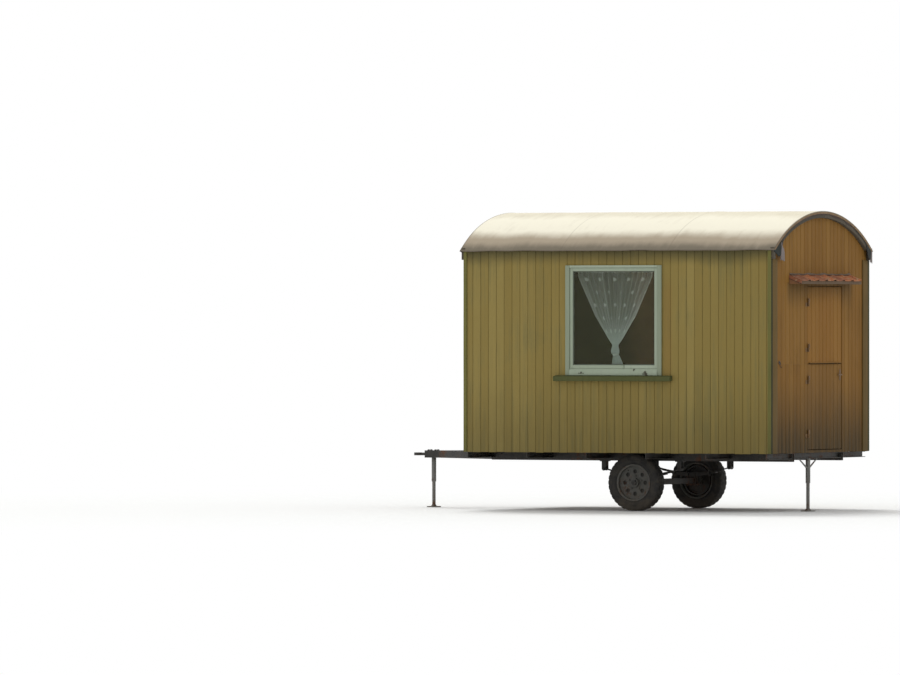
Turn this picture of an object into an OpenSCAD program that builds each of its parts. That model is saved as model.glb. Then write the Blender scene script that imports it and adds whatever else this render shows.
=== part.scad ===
// A small road-towed wagon hut: a boarded timber body with a barrel roof, one window
// on each long side and a two-leaf door under a tiled canopy, on a sprung single axle.
// X runs along the hut, from the drawbar (-X) to the door end (+X).
// Z is up from the ground. X = 0 and Y = 0 are the middle of the whole wagon's box.

/* [Body] */
// Length of the boarded body, outside
body_length = 3470; // [3200:10:4000]
// Width of the boarded body, outside
body_width = 2400; // [2300:10:2500]
// Height of the side walls, from the boards' lower edge to the eaves
wall_height = 2070; // [2000:10:2200]
// Height of the boards' lower edge above the ground
body_clearance = 600; // [580:5:680]
// Thickness of a wall: boards, studs and lining together
wall_thickness = 70; // [64:2:90]
// Thickness of the floor boards
floor_thickness = 25; // [20:1:35]
// Height of the joists under the floor boards
joist_height = 80; // [60:5:100]
// Width of one joist
joist_width = 60; // [50:5:70]
// Number of joists
joist_count = 9; // [8:1:11]

/* [Wall boards] */
// Width of one board on the outside of the walls
board_width = 90.3; // [85:0.1:96]
// Boards from one modelled groove to the next
joint_every = 3; // [2:1:5]
// Width of a groove between two boards
joint_width = 14; // [8:1:18]
// Depth of a groove between two boards
joint_depth = 8; // [4:0.5:10]
// Distance of a side wall's first modelled groove from the door end
side_joint_inset = 219.6; // [200:0.1:260]
// Place of the modelled groove nearest to the middle of an end wall
end_joint = -16; // [-40:1:40]

/* [Roof] */
// Rise of the roof's crown above the eaves
roof_rise = 405; // [370:1:430]
// Distance in from the roof's edge at which its tighter shoulder begins
shoulder_run = 450; // [380:5:500]
// How far the shoulder pulls the edge down below the line of the crown's arc
shoulder_drop = 22; // [14:1:40]
// Thickness of the roof boards
roof_board = 20; // [16:1:26]
// Thickness of the felt over the roof boards
felt_thickness = 5; // [3:1:8]
// How far the roof runs out past the side walls
eave_overhang = 20; // [16:1:40]
// How far the roof runs out past the end walls
verge_overhang = 50; // [46:1:60]
// Thickness of the arched verge board
verge_thickness = 40; // [30:1:44]
// Depth of the arched verge board under the roof's end
verge_depth = 42; // [30:2:60]
// Length of the verge board's straight tails below the eaves
verge_tail = 90; // [60:5:120]
// Depth of the arched bows that carry the roof boards inside
bow_depth = 60; // [50:5:80]
// Thickness of one bow
bow_thickness = 45; // [35:5:60]
// Number of bows between the end walls
bow_count = 4; // [3:1:5]

/* [Corner boards] */
// Width of a corner board on the end wall
corner_end_width = 150; // [120:5:170]
// Width of a corner board on the side wall, without the other board's thickness
corner_side_width = 24; // [18:2:40]
// Thickness of the corner boards
corner_thickness = 12; // [10:1:16]

/* [Door] */
// Width of the doorway
door_width = 850; // [780:10:900]
// Distance of the doorway's middle from the middle of the end wall
door_offset = 125; // [80:5:150]
// Height of the doorway's head above the boards' lower edge
door_head_height = 1706; // [1650:2:1710]
// Height of the sill under the door
door_sill_height = 27; // [20:1:40]
// Height of the parting between the leaves above the boards' lower edge
door_parting = 910; // [850:5:1000]
// Thickness of a leaf
leaf_thickness = 38; // [32:1:44]
// Running gap around the leaves
door_gap = 8; // [7:0.5:10]
// Gap between a closed leaf and its stops
stop_gap = 6; // [5:0.5:8]
// How far the stops reach behind the leaves
stop_width = 25; // [20:1:35]
// Length of the drip rail on the upper leaf
drip_rail_length = 750; // [650:10:760]
// Height of the drip rail
drip_rail_height = 22; // [16:1:30]
// How far the drip rail stands out
drip_rail_depth = 18; // [12:1:24]

/* [Hinges] */
// Radius of a hinge pin
hinge_pin_radius = 5; // [4:0.5:6]
// Radius of a hinge knuckle
knuckle_radius = 9; // [8.5:0.5:11]
// Height of one knuckle, half of a hinge
knuckle_height = 40; // [30:2:50]
// Width of a hinge plate
hinge_plate_width = 55; // [45:1:70]
// Thickness of a hinge plate
hinge_plate = 3; // [2:0.5:4]
// Distance of each hinge from the end of its leaf
hinge_inset = 120; // [100:5:150]

/* [Windows] */
// Width of the window's outer frame
window_width = 1090; // [950:10:1200]
// Height of the window's outer frame
window_height = 1126; // [1000:2:1200]
// Height of the frame's lower edge above the boards' lower edge
window_rise = 793; // [750:1:840]
// Distance of the window's middle from the middle of the body, towards the drawbar
window_offset = 30; // [0:5:150]
// Width of the frame's sides
frame_width = 46; // [35:1:60]
// Height of the frame's head
frame_head = 24; // [20:1:40]
// Height of the frame's bottom member
frame_bottom = 70; // [55:1:85]
// How far the frame stands out of the wall
frame_proud = 18; // [12:1:26]
// Depth of the frame, front to back
frame_depth = 78; // [70:2:84]
// Width of the sash's rails and stiles
sash_width = 42; // [34:1:52]
// Depth of the sash
sash_depth = 34; // [28:1:40]
// How far the sash lies behind the frame's face
sash_setback = 12; // [6:1:18]
// Thickness of the window glass
glass_thickness = 4; // [3:0.5:6]
// Length of the sill board
sill_length = 1325; // [1220:5:1400]
// Height of the sill board
sill_height = 66; // [50:1:80]
// How far the sill board stands out of the wall
sill_projection = 62; // [45:1:80]

/* [Curtains] */
// Radius of the curtain rod
rod_radius = 6; // [4:0.5:8]
// Distance of the rod from the wall's inner face
rod_standoff = 26; // [24:1:40]
// Thickness of the gathered curtain
curtain_thickness = 30; // [16:1:34]
// Width of the curtain along the rod
curtain_width = 900; // [800:10:940]
// Width of the curtain where it is tied
curtain_knot_width = 96; // [80:2:120]
// Height of the knot above the bottom of the frame
curtain_knot_height = 255; // [220:5:300]
// Length of the curtain below the knot
curtain_tail = 145; // [110:5:160]
// Distance of the rod below the top of the frame
rod_drop = 60; // [46:2:110]

/* [Canopy] */
// Width of the canopy over the door
canopy_width = 1480; // [1380:10:1560]
// How far the canopy stands out of the end wall
canopy_projection = 135; // [110:5:170]
// Height of the canopy's lower edge above the doorway's head
canopy_rise = 20; // [16:1:70]
// Height of the grey board along the canopy's front
fascia_height = 32; // [26:1:42]
// Thickness of the canopy's front board
fascia_thickness = 16; // [12:1:22]
// Height of the canopy's slope, from its front to the wall
canopy_fall = 62; // [50:2:80]
// Thickness of the boards under the tiles
canopy_deck_thickness = 16; // [12:1:22]
// Thickness of the tile layer
tile_thickness = 12; // [9:1:16]

/* [Chassis] */
// Height of the chassis rails
rail_height = 88; // [80:2:100]
// Width of the chassis rails' flanges
rail_flange = 50; // [40:2:60]
// Thickness of the chassis steel
rail_steel = 6; // [5:0.5:8]
// Distance of each rail's middle from the wagon's middle
rail_offset = 600; // [560:5:620]
// Height of the cross members
cross_height = 60; // [50:2:70]
// Width of the cross members
cross_width = 40; // [34:2:50]
// Distance of the rails' ends from the body's ends
rail_inset = 20; // [10:2:40]
// Number of cross members
cross_count = 6; // [4:2:8]
// Reach of the drawbar past the body
drawbar_reach = 1200; // [1000:10:1400]
// Height of the drawbar's arms
drawbar_height = 76; // [60:2:80]
// Width of a drawbar arm
drawbar_width = 50; // [40:2:60]
// Length of the eye's shank
shank_length = 60; // [40:5:90]
// Length of the block at the drawbar's tip
head_length = 160; // [140:5:200]
// Width of the block at the drawbar's tip
head_width = 120; // [110:2:150]
// Inner radius of the towing eye
eye_radius = 20; // [18:0.5:25]
// Thickness of the towing eye's ring, in plan
eye_ring = 24; // [20:1:30]
// Height of the towing eye's ring
eye_height = 30; // [26:1:40]

/* [Props] */
// Radius of the tube of a prop
prop_radius = 24; // [20:1:30]
// Radius of the round foot of a prop
foot_radius = 75; // [60:5:100]
// Thickness of the foot
foot_thickness = 10; // [8:1:14]
// Distance of the door end's prop from the wagon's middle, towards the near side
rear_prop_offset = 200; // [0:10:300]
// How far the rear prop's braces reach along the end cross member
brace_reach = 230; // [180:10:300]

/* [Wheels] */
// Radius of the tyres
tyre_radius = 290; // [275:5:295]
// Width of the tyres
tyre_width = 168; // [156:2:180]
// Radius of the rim where the tyre seats
rim_radius = 176; // [166:2:184]
// Distance of each wheel's middle from the wagon's middle
wheel_offset = 750; // [740:2:800]
// Distance of the axle from the middle of the body, towards the door
axle_offset = 10; // [-60:5:60]
// Width and height of the axle beam
axle_width = 60; // [50:2:70]
// Radius of the axle's journals
journal_radius = 22; // [18:0.5:26]
// Running clearance between a journal and its hub
journal_clearance = 0.08; // [0.05:0.01:0.1]
// Outer radius of the hub
hub_radius = 46; // [40:1:55]
// Length of the hub
hub_length = 110; // [90:5:120]

/* [Springs] */
// Distance between the spring's eyes
spring_span = 860; // [760:10:920]
// Width of the spring leaves
leaf_width = 55; // [45:1:60]
// Thickness of one leaf
leaf_steel = 9; // [7:0.5:11]
// Number of leaves
leaf_count = 5; // [4:1:6]
// Radius of the spring's eyes
spring_eye_radius = 20; // [18:0.5:24]
// Rise of the spring's eyes over its middle
spring_camber = 60; // [40:2:70]
// Thickness of the pad between axle and spring
spring_pad = 10; // [6:1:16]
// Radius of the pin through a spring eye
spring_pin_radius = 10; // [8:0.5:12]
// Thickness of a hanger's ears
hanger_plate = 8; // [6:1:10]

/* [Hidden] */

$fn = 48;
// Facets of the roof's and the springs' long arcs
arc_steps = 240;
// Small gap left where one piece seats on another
seat = 0.3;
// How far a cut runs past the face that it opens
cut = 1;
// How far a moulding laps into the board that carries it
lap = 1;

// The body's planes
half_length = body_length / 2;
half_width = body_width / 2;
inner_end = half_length - wall_thickness;
inner_side = half_width - wall_thickness;
base_z = body_clearance;
eave_z = base_z + wall_height;
floor_top = base_z + joist_height + floor_thickness;
// The grooves that show where the walls' boards meet
joint_step = joint_every * board_width;
first_side_joint = half_length - side_joint_inset;
end_joint_reach = floor((half_width - abs(end_joint)) / joint_step);
// Moves the body's middle so that X = 0 is the middle of the whole wagon
middle_shift = (drawbar_reach - canopy_projection) / 2;

// The roof's arch has three centres: a broad crown and a tighter shoulder on each side.
// The crown's arc would meet the roof's edge shoulder_drop above the eaves.
half_span = half_width + eave_overhang;
crown_rise = roof_rise - shoulder_drop;
crown_radius = (pow(half_span, 2) + pow(crown_rise, 2)) / (2 * crown_rise);
crown_z = eave_z + roof_rise - crown_radius;
shoulder_start = half_span - shoulder_run;
join_angle = asin(shoulder_start / crown_radius);
join_z = crown_z + crown_radius * cos(join_angle);
join_rise = join_z - eave_z;
// The shoulder's arc leaves the crown's at a tangent and passes through the roof's edge
shoulder_radius = (pow(shoulder_run, 2) + pow(join_rise, 2))
    / (2 * (join_rise * cos(join_angle) - shoulder_run * sin(join_angle)));
shoulder_y = shoulder_start - shoulder_radius * sin(join_angle);
shoulder_z = join_z - shoulder_radius * cos(join_angle);
boards_inset = felt_thickness + seat;
under_inset = boards_inset + roof_board + seat;

// The doorway and the leaves
door_near = door_offset - door_width / 2;
door_far = door_offset + door_width / 2;
head_z = base_z + door_head_height;
parting_z = base_z + door_parting;
leaf_near = door_near + door_gap;
leaf_far = door_far - door_gap;
leaf_back = half_length - leaf_thickness;
stop_front = leaf_back - stop_gap;
drip_rail_face = drip_rail_height * 0.6;
sill_z = base_z + door_sill_height;
lower_leaf = [sill_z + door_gap, parting_z - door_gap / 2];
upper_leaf = [parting_z + door_gap / 2, head_z - door_gap];
hinge_stand = 2;
hinge_x = half_length + knuckle_radius + hinge_stand;
hinge_y = door_near + door_gap / 2;
pin_clearance = 0.08;
hinge_heights = [
    lower_leaf[0] + hinge_inset, lower_leaf[1] - hinge_inset - 2 * knuckle_height,
    upper_leaf[0] + hinge_inset, upper_leaf[1] - hinge_inset - 2 * knuckle_height
];
latch_drop = 110;
latch_inset = 48;
latch_plate = [4, 34, 110];
latch_lever = [9, 92, 14];
latch_spindle_radius = 8;
latch_spindle_length = 26;

// The windows
window_x = -window_offset;
window_z = base_z + window_rise;
sill_slope = 10;
rod_z = window_z + window_height - rod_drop;
rod_y = inner_side - rod_standoff;
rod_overrun = 40;
rod_bracket = [14, 30];
knot_z = window_z + curtain_knot_height;
knot_half_height = 22;
// The waist under the knot and the tail's end, as shares of the knot's width
knot_waist = 0.8;
tail_flare = 1.3;

// The canopy, measured out from the end wall
canopy_z = head_z + canopy_rise;
fascia_top = canopy_z + fascia_height;
canopy_slope = (canopy_fall - tile_thickness) / canopy_projection;
cheek_thickness = 16;

// The chassis
rail_end = half_length - rail_inset;
rail_z = base_z - rail_height;
cross_step = (2 * rail_end - cross_width) / (cross_count - 1);
outrigger_inset = 20;
outrigger_end = half_width - outrigger_inset;
eye_outer = eye_radius + eye_ring;
eye_x = -half_length - drawbar_reach + eye_outer;
head_front = eye_x + eye_outer + shank_length;
head_back = head_front + head_length;
drawbar_drop = 6;
drawbar_top = base_z - drawbar_drop;
drawbar_z = drawbar_top - drawbar_height;
eye_z = drawbar_z + drawbar_height / 2;
tip_offset = head_width / 4;
arm_angle = atan((rail_offset - tip_offset) / (head_back + rail_end));
shank_radius = eye_height / 2;
shank_collar_length = 10;
shank_collar_inset = 4;
shank_collar_radius = drawbar_height / 2 - shank_collar_inset;
prop_sleeve_wall = 6;
prop_core = prop_radius - prop_sleeve_wall;
prop_sleeve_height = 250;
prop_collar_height = 20;
prop_collar_flare = 14;
prop_pin_radius = 7;
prop_pin_rise = 22;
prop_pin_overrun = 18;
brace_depth = 22;
brace_steel = 8;
brace_drop = 120;

// The wheels and springs
axle_x = axle_offset;
axle_z = tyre_radius;
hub_bore_radius = journal_radius + journal_clearance;
collar_gap = 0.5;
spring_seat_length = 120;
beam_end = wheel_offset - hub_length / 2 - collar_gap;
nut_start = wheel_offset + hub_length / 2 + collar_gap;
nut_radius = 30;
nut_length = 16;
rim_steel = 5;
rim_half_width = tyre_width * 0.4;
rim_flange = 14;
rim_bead = 1;
disc_steel = 7;
disc_offset = 14;
disc_dish = 12;
hub_lap = 5;
hand_hole_radius = 21;
hand_hole_count = 8;
hand_hole_shift = 4;
hand_hole_ring = (rim_radius + hub_radius) / 2 + hand_hole_shift;
tyre_side = tyre_radius - rim_radius - seat;
// Half outline of the tyre: share of its side height, share of its half width
tyre_outline = [
    [0, 0.76], [0.12, 0.79], [0.27, 0.93], [0.45, 1], [0.65, 0.98],
    [0.84, 0.9], [0.95, 0.8], [1, 0.66]
];
groove_count = 3;
groove_step = 34;
groove_width = 9;
groove_depth = 9;
main_leaf_z = axle_z + axle_width / 2 + spring_pad + (leaf_count - 1) * leaf_steel;
main_leaf_radius = pow(spring_span / 2, 2) / (2 * spring_camber) + spring_camber / 2;
spring_centre_z = main_leaf_z + main_leaf_radius;
spring_eye_z = main_leaf_z + spring_camber + leaf_steel / 2;
hanger_ear_width = 44;
hanger_pin_overrun = 8;
// How many steps shorter the last leaf would be if it came to nothing
leaf_steps = leaf_count + 0.4;

// A box between two opposite corners
module block(low, high) {
    translate(low)
        cube(high - low);
}

// A drawing in Y and Z, made solid from x0 to x1
module along_x(x0, x1) {
    translate([x0, 0, 0])
        rotate([90, 0, 90])
            linear_extrude(x1 - x0)
                children();
}

// A drawing in X and Z, made solid from y0 to y1
module along_y(y0, y1) {
    translate([0, y1, 0])
        rotate([90, 0, 0])
            linear_extrude(y1 - y0)
                children();
}

// Everything is drawn about the body's middle and then moved to the wagon's middle
module placed() {
    translate([middle_shift, 0, 0])
        children();
}

// The area inside the roof's arch, offset inwards by inset
module arch_area(inset) {
    reach = 2 * crown_radius;
    intersection() {
        translate([0, crown_z])
            circle(crown_radius - inset, $fn = arc_steps);
        polygon([
            [0, crown_z],
            [-reach * tan(join_angle), crown_z + reach],
            [reach * tan(join_angle), crown_z + reach]
        ]);
    }
    for (side = [-1, 1])
        translate([side * shoulder_y, shoulder_z])
            circle(shoulder_radius - inset, $fn = arc_steps);
}

// The part of a drawing between two distances from the middle, above a level
module above(level, half) {
    intersection() {
        children();
        translate([-half, level])
            square([2 * half, eave_z + roof_rise + cut - level]);
    }
}

// A layer of the roof between two offsets
module roof_layer(outer, inner) {
    above(eave_z, half_span)
        difference() {
            arch_area(outer);
            arch_area(inner);
        }
}

// A stretch of wall from y0 to y1, cut to the roof's underside
module wall_area(y0, y1, z0) {
    intersection() {
        translate([y0, z0])
            square([y1 - y0, eave_z + roof_rise - z0]);
        union() {
            arch_area(under_inset);
            translate([-half_width, 0])
                square([body_width, eave_z]);
        }
    }
}

// Running gear

module chassis_rails() {
    color("#23221f")
        placed()
            for (side = [-1, 1])
                along_x(-rail_end, rail_end)
                    translate([side * rail_offset - rail_flange / 2, rail_z])
                        difference() {
                            square([rail_flange, rail_height]);
                            translate([rail_steel, rail_steel])
                                square([rail_flange - 2 * rail_steel,
                                    rail_height - 2 * rail_steel]);
                        }
}

module cross_channel() {
    difference() {
        square([cross_width, cross_height]);
        translate([rail_steel, rail_steel])
            square([cross_width, cross_height - 2 * rail_steel]);
    }
}

module cross_members() {
    inner = rail_offset - rail_flange / 2;
    outer = rail_offset + rail_flange / 2;
    spans = [[-inner, inner], [outer, outrigger_end], [-outrigger_end, -outer]];
    color("#262522")
        placed()
            for (i = [0 : cross_count - 1], span = spans)
                translate([-rail_end + i * cross_step, 0, base_z - cross_height])
                    along_y(span[0], span[1])
                        cross_channel();
}

module drawbar_arms() {
    half = drawbar_width / 2 / cos(arm_angle);
    color("#2a2825")
        placed()
            for (side = [-1, 1])
                translate([0, 0, drawbar_z])
                    linear_extrude(drawbar_height)
                        polygon([
                            [-rail_end, side * (rail_offset - half)],
                            [-rail_end, side * (rail_offset + half)],
                            [head_back, side * (tip_offset + half)],
                            [head_back, side * (tip_offset - half)]
                        ]);
}

module drawbar_head() {
    color("#2a2825")
        placed()
            block([head_front, -head_width / 2, drawbar_z],
                [head_back, head_width / 2, drawbar_top]);
}

module towing_eye() {
    color("#3a3632")
        placed()
            translate([eye_x, 0, eye_z])
                difference() {
                    union() {
                        translate([0, 0, -eye_height / 2])
                            cylinder(h = eye_height, r = eye_outer);
                        translate([eye_radius + eye_ring / 2, 0, 0])
                            rotate([0, 90, 0])
                                cylinder(h = head_front - eye_x - eye_radius - eye_ring / 2,
                                    r = shank_radius);
                        translate([head_front - eye_x - shank_collar_length, 0, 0])
                            rotate([0, 90, 0])
                                cylinder(h = shank_collar_length, r = shank_collar_radius);
                    }
                    translate([0, 0, -eye_height])
                        cylinder(h = 2 * eye_height, r = eye_radius);
                }
}

// A telescopic prop from the ground to a given height, with a round foot and a pin
module prop(top) {
    sleeve_z = top - prop_sleeve_height;
    cylinder(h = foot_thickness, r = foot_radius);
    cylinder(h = top, r = prop_core);
    translate([0, 0, sleeve_z])
        cylinder(h = prop_sleeve_height, r = prop_radius);
    translate([0, 0, foot_thickness])
        cylinder(h = prop_collar_height, r1 = prop_core + prop_collar_flare, r2 = prop_core);
    translate([0, 0, sleeve_z + prop_pin_rise])
        rotate([90, 0, 0])
            cylinder(h = 2 * (prop_radius + prop_pin_overrun), r = prop_pin_radius,
                center = true);
}

module drawbar_prop() {
    color("#4a4a46")
        placed()
            translate([(head_front + head_back) / 2, 0, 0])
                prop(drawbar_z);
}

module door_end_prop() {
    top = base_z - cross_height;
    color("#4a4a46")
        placed()
            translate([rail_end - cross_width / 2, -rear_prop_offset, 0]) {
                prop(top);
                along_x(-brace_steel / 2, brace_steel / 2)
                    for (side = [-1, 1])
                        polygon([
                            [0, top - brace_drop], [0, top - brace_drop + brace_depth],
                            [side * (brace_reach - brace_depth), top],
                            [side * brace_reach, top]
                        ]);
            }
}

module axle() {
    color("#201f1d")
        placed()
            translate([axle_x, 0, axle_z]) {
                block([-axle_width / 2, -beam_end, -axle_width / 2],
                    [axle_width / 2, beam_end, axle_width / 2]);
                rotate([90, 0, 0])
                    cylinder(h = 2 * nut_start, r = journal_radius, center = true);
                for (side = [-1, 1]) {
                    rotate([-90 * side, 0, 0])
                        translate([0, 0, nut_start])
                            cylinder(h = nut_length, r = nut_radius, $fn = 6);
                    translate([0, side * rail_offset, axle_width / 2])
                        block([-spring_seat_length / 2, -leaf_width / 2, 0],
                            [spring_seat_length / 2, leaf_width / 2, spring_pad]);
                }
            }
}

// One spring leaf: an arc about the spring's centre, k places below the main leaf
module leaf_area(k) {
    radius = main_leaf_radius + k * leaf_steel;
    half = asin(spring_span / 2 * (1 - k / leaf_steps) / main_leaf_radius);
    reach = 2 * radius;
    translate([0, spring_centre_z])
        intersection() {
            difference() {
                circle(radius, $fn = 3 * arc_steps);
                circle(radius - leaf_steel, $fn = 3 * arc_steps);
            }
            polygon([[0, 0], [-reach * sin(half), -reach * cos(half)],
                [reach * sin(half), -reach * cos(half)]]);
        }
}

module springs() {
    color("#1f1e1c")
        placed()
            translate([axle_x, 0, 0])
                for (side = [-1, 1])
                    along_y(side * rail_offset - leaf_width / 2,
                        side * rail_offset + leaf_width / 2)
                        difference() {
                            union() {
                                for (k = [0 : leaf_count - 1])
                                    leaf_area(k);
                                for (end = [-1, 1])
                                    translate([end * spring_span / 2, spring_eye_z])
                                        circle(spring_eye_radius);
                            }
                            for (end = [-1, 1])
                                translate([end * spring_span / 2, spring_eye_z])
                                    circle(spring_pin_radius + seat);
                        }
}

// A hanger under the rail: a plate, two ears and the pin through the spring's eye
module hanger() {
    ear = leaf_width / 2 + seat;
    for (side = [-1, 1])
        along_y(side * (ear + hanger_plate / 2) - hanger_plate / 2,
            side * (ear + hanger_plate / 2) + hanger_plate / 2) {
            translate([-hanger_ear_width / 2, spring_eye_z])
                square([hanger_ear_width, rail_z - spring_eye_z]);
            translate([0, spring_eye_z])
                circle(hanger_ear_width / 2);
        }
    block([-hanger_ear_width, -ear - hanger_plate, rail_z - hanger_plate],
        [hanger_ear_width, ear + hanger_plate, rail_z]);
    translate([0, 0, spring_eye_z])
        rotate([90, 0, 0])
            cylinder(h = 2 * (ear + hanger_plate + hanger_pin_overrun), r = spring_pin_radius,
                center = true);
}

module spring_hangers() {
    color("#262522")
        placed()
            for (side = [-1, 1], end = [-1, 1])
                translate([axle_x + end * spring_span / 2, side * rail_offset, 0])
                    hanger();
}

// Places a wheel's drawing: its own Z axis points out of the wagon
module at_wheel(side) {
    translate([axle_x, side * wheel_offset, axle_z])
        rotate([-90 * side, 0, 0])
            children();
}

module wheel(side) {
    color("#56544d")
        placed()
            at_wheel(side)
                difference() {
                    union() {
                        rotate_extrude()
                            polygon([
                                [hub_radius - hub_lap, disc_offset],
                                [rim_radius - rim_steel, disc_offset + disc_dish],
                                [rim_radius - rim_steel, -rim_half_width],
                                [rim_radius + rim_flange, -rim_half_width - rim_steel],
                                [rim_radius + rim_flange, -rim_half_width],
                                [rim_radius, -rim_half_width + rim_bead],
                                [rim_radius, rim_half_width - rim_bead],
                                [rim_radius + rim_flange, rim_half_width],
                                [rim_radius + rim_flange, rim_half_width + rim_steel],
                                [rim_radius - rim_steel, rim_half_width],
                                [rim_radius - rim_steel, disc_offset + disc_dish + disc_steel],
                                [hub_radius - hub_lap, disc_offset + disc_steel]
                            ]);
                        translate([0, 0, -hub_length / 2])
                            cylinder(h = hub_length, r = hub_radius);
                    }
                    translate([0, 0, -hub_length])
                        cylinder(h = 2 * hub_length, r = hub_bore_radius);
                    for (i = [1 : hand_hole_count])
                        rotate([0, 0, i * 360 / hand_hole_count])
                            translate([hand_hole_ring, 0, 0])
                                cylinder(h = tyre_width, r = hand_hole_radius);
                }
}

module tyre(side) {
    low = rim_radius + seat;
    outer = [for (p = tyre_outline) [low + tyre_side * p[0], tyre_width / 2 * p[1]]];
    count = len(outer);
    inner = [for (i = [0 : count - 1]) [outer[count - 1 - i][0], -outer[count - 1 - i][1]]];
    color("#1b1a18")
        placed()
            at_wheel(side)
                rotate_extrude()
                    difference() {
                        polygon(concat(outer, inner));
                        for (i = [0 : groove_count - 1])
                            translate([tyre_radius - groove_depth,
                                (i - (groove_count - 1) / 2) * groove_step - groove_width / 2])
                                square([groove_depth + cut, groove_width]);
                    }
}

module wheel_near() {
    wheel(-1);
}

module wheel_far() {
    wheel(1);
}

module tyre_near() {
    tyre(-1);
}

module tyre_far() {
    tyre(1);
}

// Floor and walls

module floor_joists() {
    step = (2 * inner_end - joist_width) / (joist_count - 1);
    color("#6b5638")
        placed()
            for (i = [0 : joist_count - 1])
                translate([-inner_end + i * step, -inner_side, base_z])
                    cube([joist_width, 2 * inner_side, joist_height]);
}

module floor_boards() {
    color("#7d6745")
        placed()
            block([-inner_end, -inner_side, base_z + joist_height],
                [inner_end, inner_side, floor_top]);
}

// An upright groove in a wall's outside; turn is the direction that the wall faces
module board_joint(x, y, turn) {
    translate([x, y, base_z - cut])
        rotate([0, 0, turn])
            linear_extrude(height = wall_height + roof_rise + 2 * cut)
                polygon([
                    [cut, -joint_width / 2], [cut, joint_width / 2], [0, joint_width / 2],
                    [-joint_depth, 0], [0, -joint_width / 2]
                ]);
}

// The grooves of an end wall that fall between y0 and y1, clear of the corner boards
module end_joints(end, y0, y1) {
    clear = half_width - corner_end_width - joint_width;
    for (k = [-end_joint_reach : end_joint_reach]) {
        y = end_joint + k * joint_step;
        if (y > y0 + joint_width && y < y1 - joint_width && abs(y) < clear)
            board_joint(end * half_length, y, end > 0 ? 0 : 180);
    }
}

module side_wall(side) {
    outer = side * half_width;
    inner = side * inner_side;
    color("#a28b3c")
        placed()
            difference() {
                along_x(-half_length, half_length)
                    wall_area(min(outer, inner), max(outer, inner), base_z);
                block([window_x - window_width / 2, min(outer, inner) - cut, window_z],
                    [window_x + window_width / 2, max(outer, inner) + cut,
                        window_z + window_height]);
                for (x = [first_side_joint : -joint_step : joint_width - half_length])
                    board_joint(x, outer, side * 90);
            }
}

module wall_near() {
    side_wall(-1);
}

module wall_far() {
    side_wall(1);
}

module wall_drawbar_end() {
    color("#a8742c")
        placed()
            difference() {
                along_x(-half_length, -inner_end)
                    wall_area(-inner_side, inner_side, base_z);
                end_joints(-1, -inner_side, inner_side);
            }
}

module door_wall_near() {
    color("#a8742c")
        placed()
            difference() {
                along_x(inner_end, half_length)
                    wall_area(-inner_side, door_near, base_z);
                end_joints(1, -inner_side, door_near);
            }
}

module door_wall_far() {
    color("#a8742c")
        placed()
            difference() {
                along_x(inner_end, half_length)
                    wall_area(door_far, inner_side, base_z);
                end_joints(1, door_far, inner_side);
            }
}

module door_wall_gable() {
    color("#a8742c")
        placed()
            difference() {
                along_x(inner_end, half_length)
                    wall_area(door_near, door_far, head_z);
                end_joints(1, door_near, door_far);
            }
}

// An L of two boards round each corner; the end board is notched round the verge's tail
module corner_boards() {
    color("#6f6a39")
        placed()
            for (end = [-1, 1], side = [-1, 1])
                mirror([end < 0 ? 1 : 0, 0, 0]) mirror([0, side < 0 ? 1 : 0, 0]) {
                    block([half_length, half_width - corner_end_width, base_z],
                        [half_length + corner_thickness, half_width,
                            eave_z - verge_tail - seat]);
                    block([half_length, half_width - corner_end_width, base_z],
                        [half_length + corner_thickness, half_width - verge_depth - seat,
                            eave_z - seat]);
                    block([half_length - corner_side_width, half_width, base_z],
                        [half_length + corner_thickness, half_width + corner_thickness,
                            eave_z - seat]);
                }
}

// Roof

module roof_bows() {
    outer = under_inset;
    step = 2 * inner_end / (bow_count + 1);
    color("#8a6f47")
        placed()
            for (i = [1 : bow_count])
                along_x(-inner_end + i * step - bow_thickness / 2,
                    -inner_end + i * step + bow_thickness / 2)
                    above(eave_z, inner_side)
                        difference() {
                            arch_area(outer);
                            arch_area(outer + bow_depth);
                        }
}

module roof_boards() {
    color("#8f7850")
        placed()
            along_x(-half_length - verge_overhang, half_length + verge_overhang)
                roof_layer(boards_inset, boards_inset + roof_board);
}

module roof_felt() {
    color("#d8cdb6")
        placed()
            along_x(-half_length - verge_overhang, half_length + verge_overhang)
                roof_layer(0, felt_thickness);
}

module verge_area() {
    above(eave_z, half_width)
        difference() {
            arch_area(under_inset);
            arch_area(under_inset + verge_depth);
        }
    for (side = [-1, 1])
        intersection() {
            translate([side * (half_width - verge_depth / 2) - verge_depth / 2,
                eave_z - verge_tail])
                square([verge_depth, verge_tail + 2 * verge_depth]);
            wall_area(-half_width, half_width, base_z);
        }
}

module verge_boards() {
    color("#4b4238")
        placed()
            for (end = [-1, 1])
                along_x(end * (half_length + verge_thickness / 2) - verge_thickness / 2,
                    end * (half_length + verge_thickness / 2) + verge_thickness / 2)
                    verge_area();
}

// Door

module door_frame() {
    inner_near = leaf_near + stop_width;
    inner_far = leaf_far - stop_width;
    color("#8a6a3a")
        placed() {
            block([inner_end, door_near, floor_top], [stop_front, inner_near, head_z]);
            block([inner_end, inner_far, floor_top], [stop_front, door_far, head_z]);
            block([inner_end, inner_near + seat, head_z - door_gap - stop_width],
                [stop_front, inner_far - seat, head_z]);
            along_y(door_near, door_far)
                polygon([
                    [inner_end, base_z], [half_length, base_z], [half_length, sill_z],
                    [stop_front, sill_z], [stop_front, floor_top - seat],
                    [inner_end, floor_top - seat]
                ]);
        }
}

// The moving half of a lift-off hinge: a knuckle with its bore and a plate on the leaf
module hinge_knuckle(z) {
    block([half_length, hinge_y, z], [half_length + hinge_plate, hinge_y + hinge_plate_width,
        z + knuckle_height]);
    translate([hinge_x, hinge_y, z])
        cylinder(h = knuckle_height, r = knuckle_radius);
}

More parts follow.
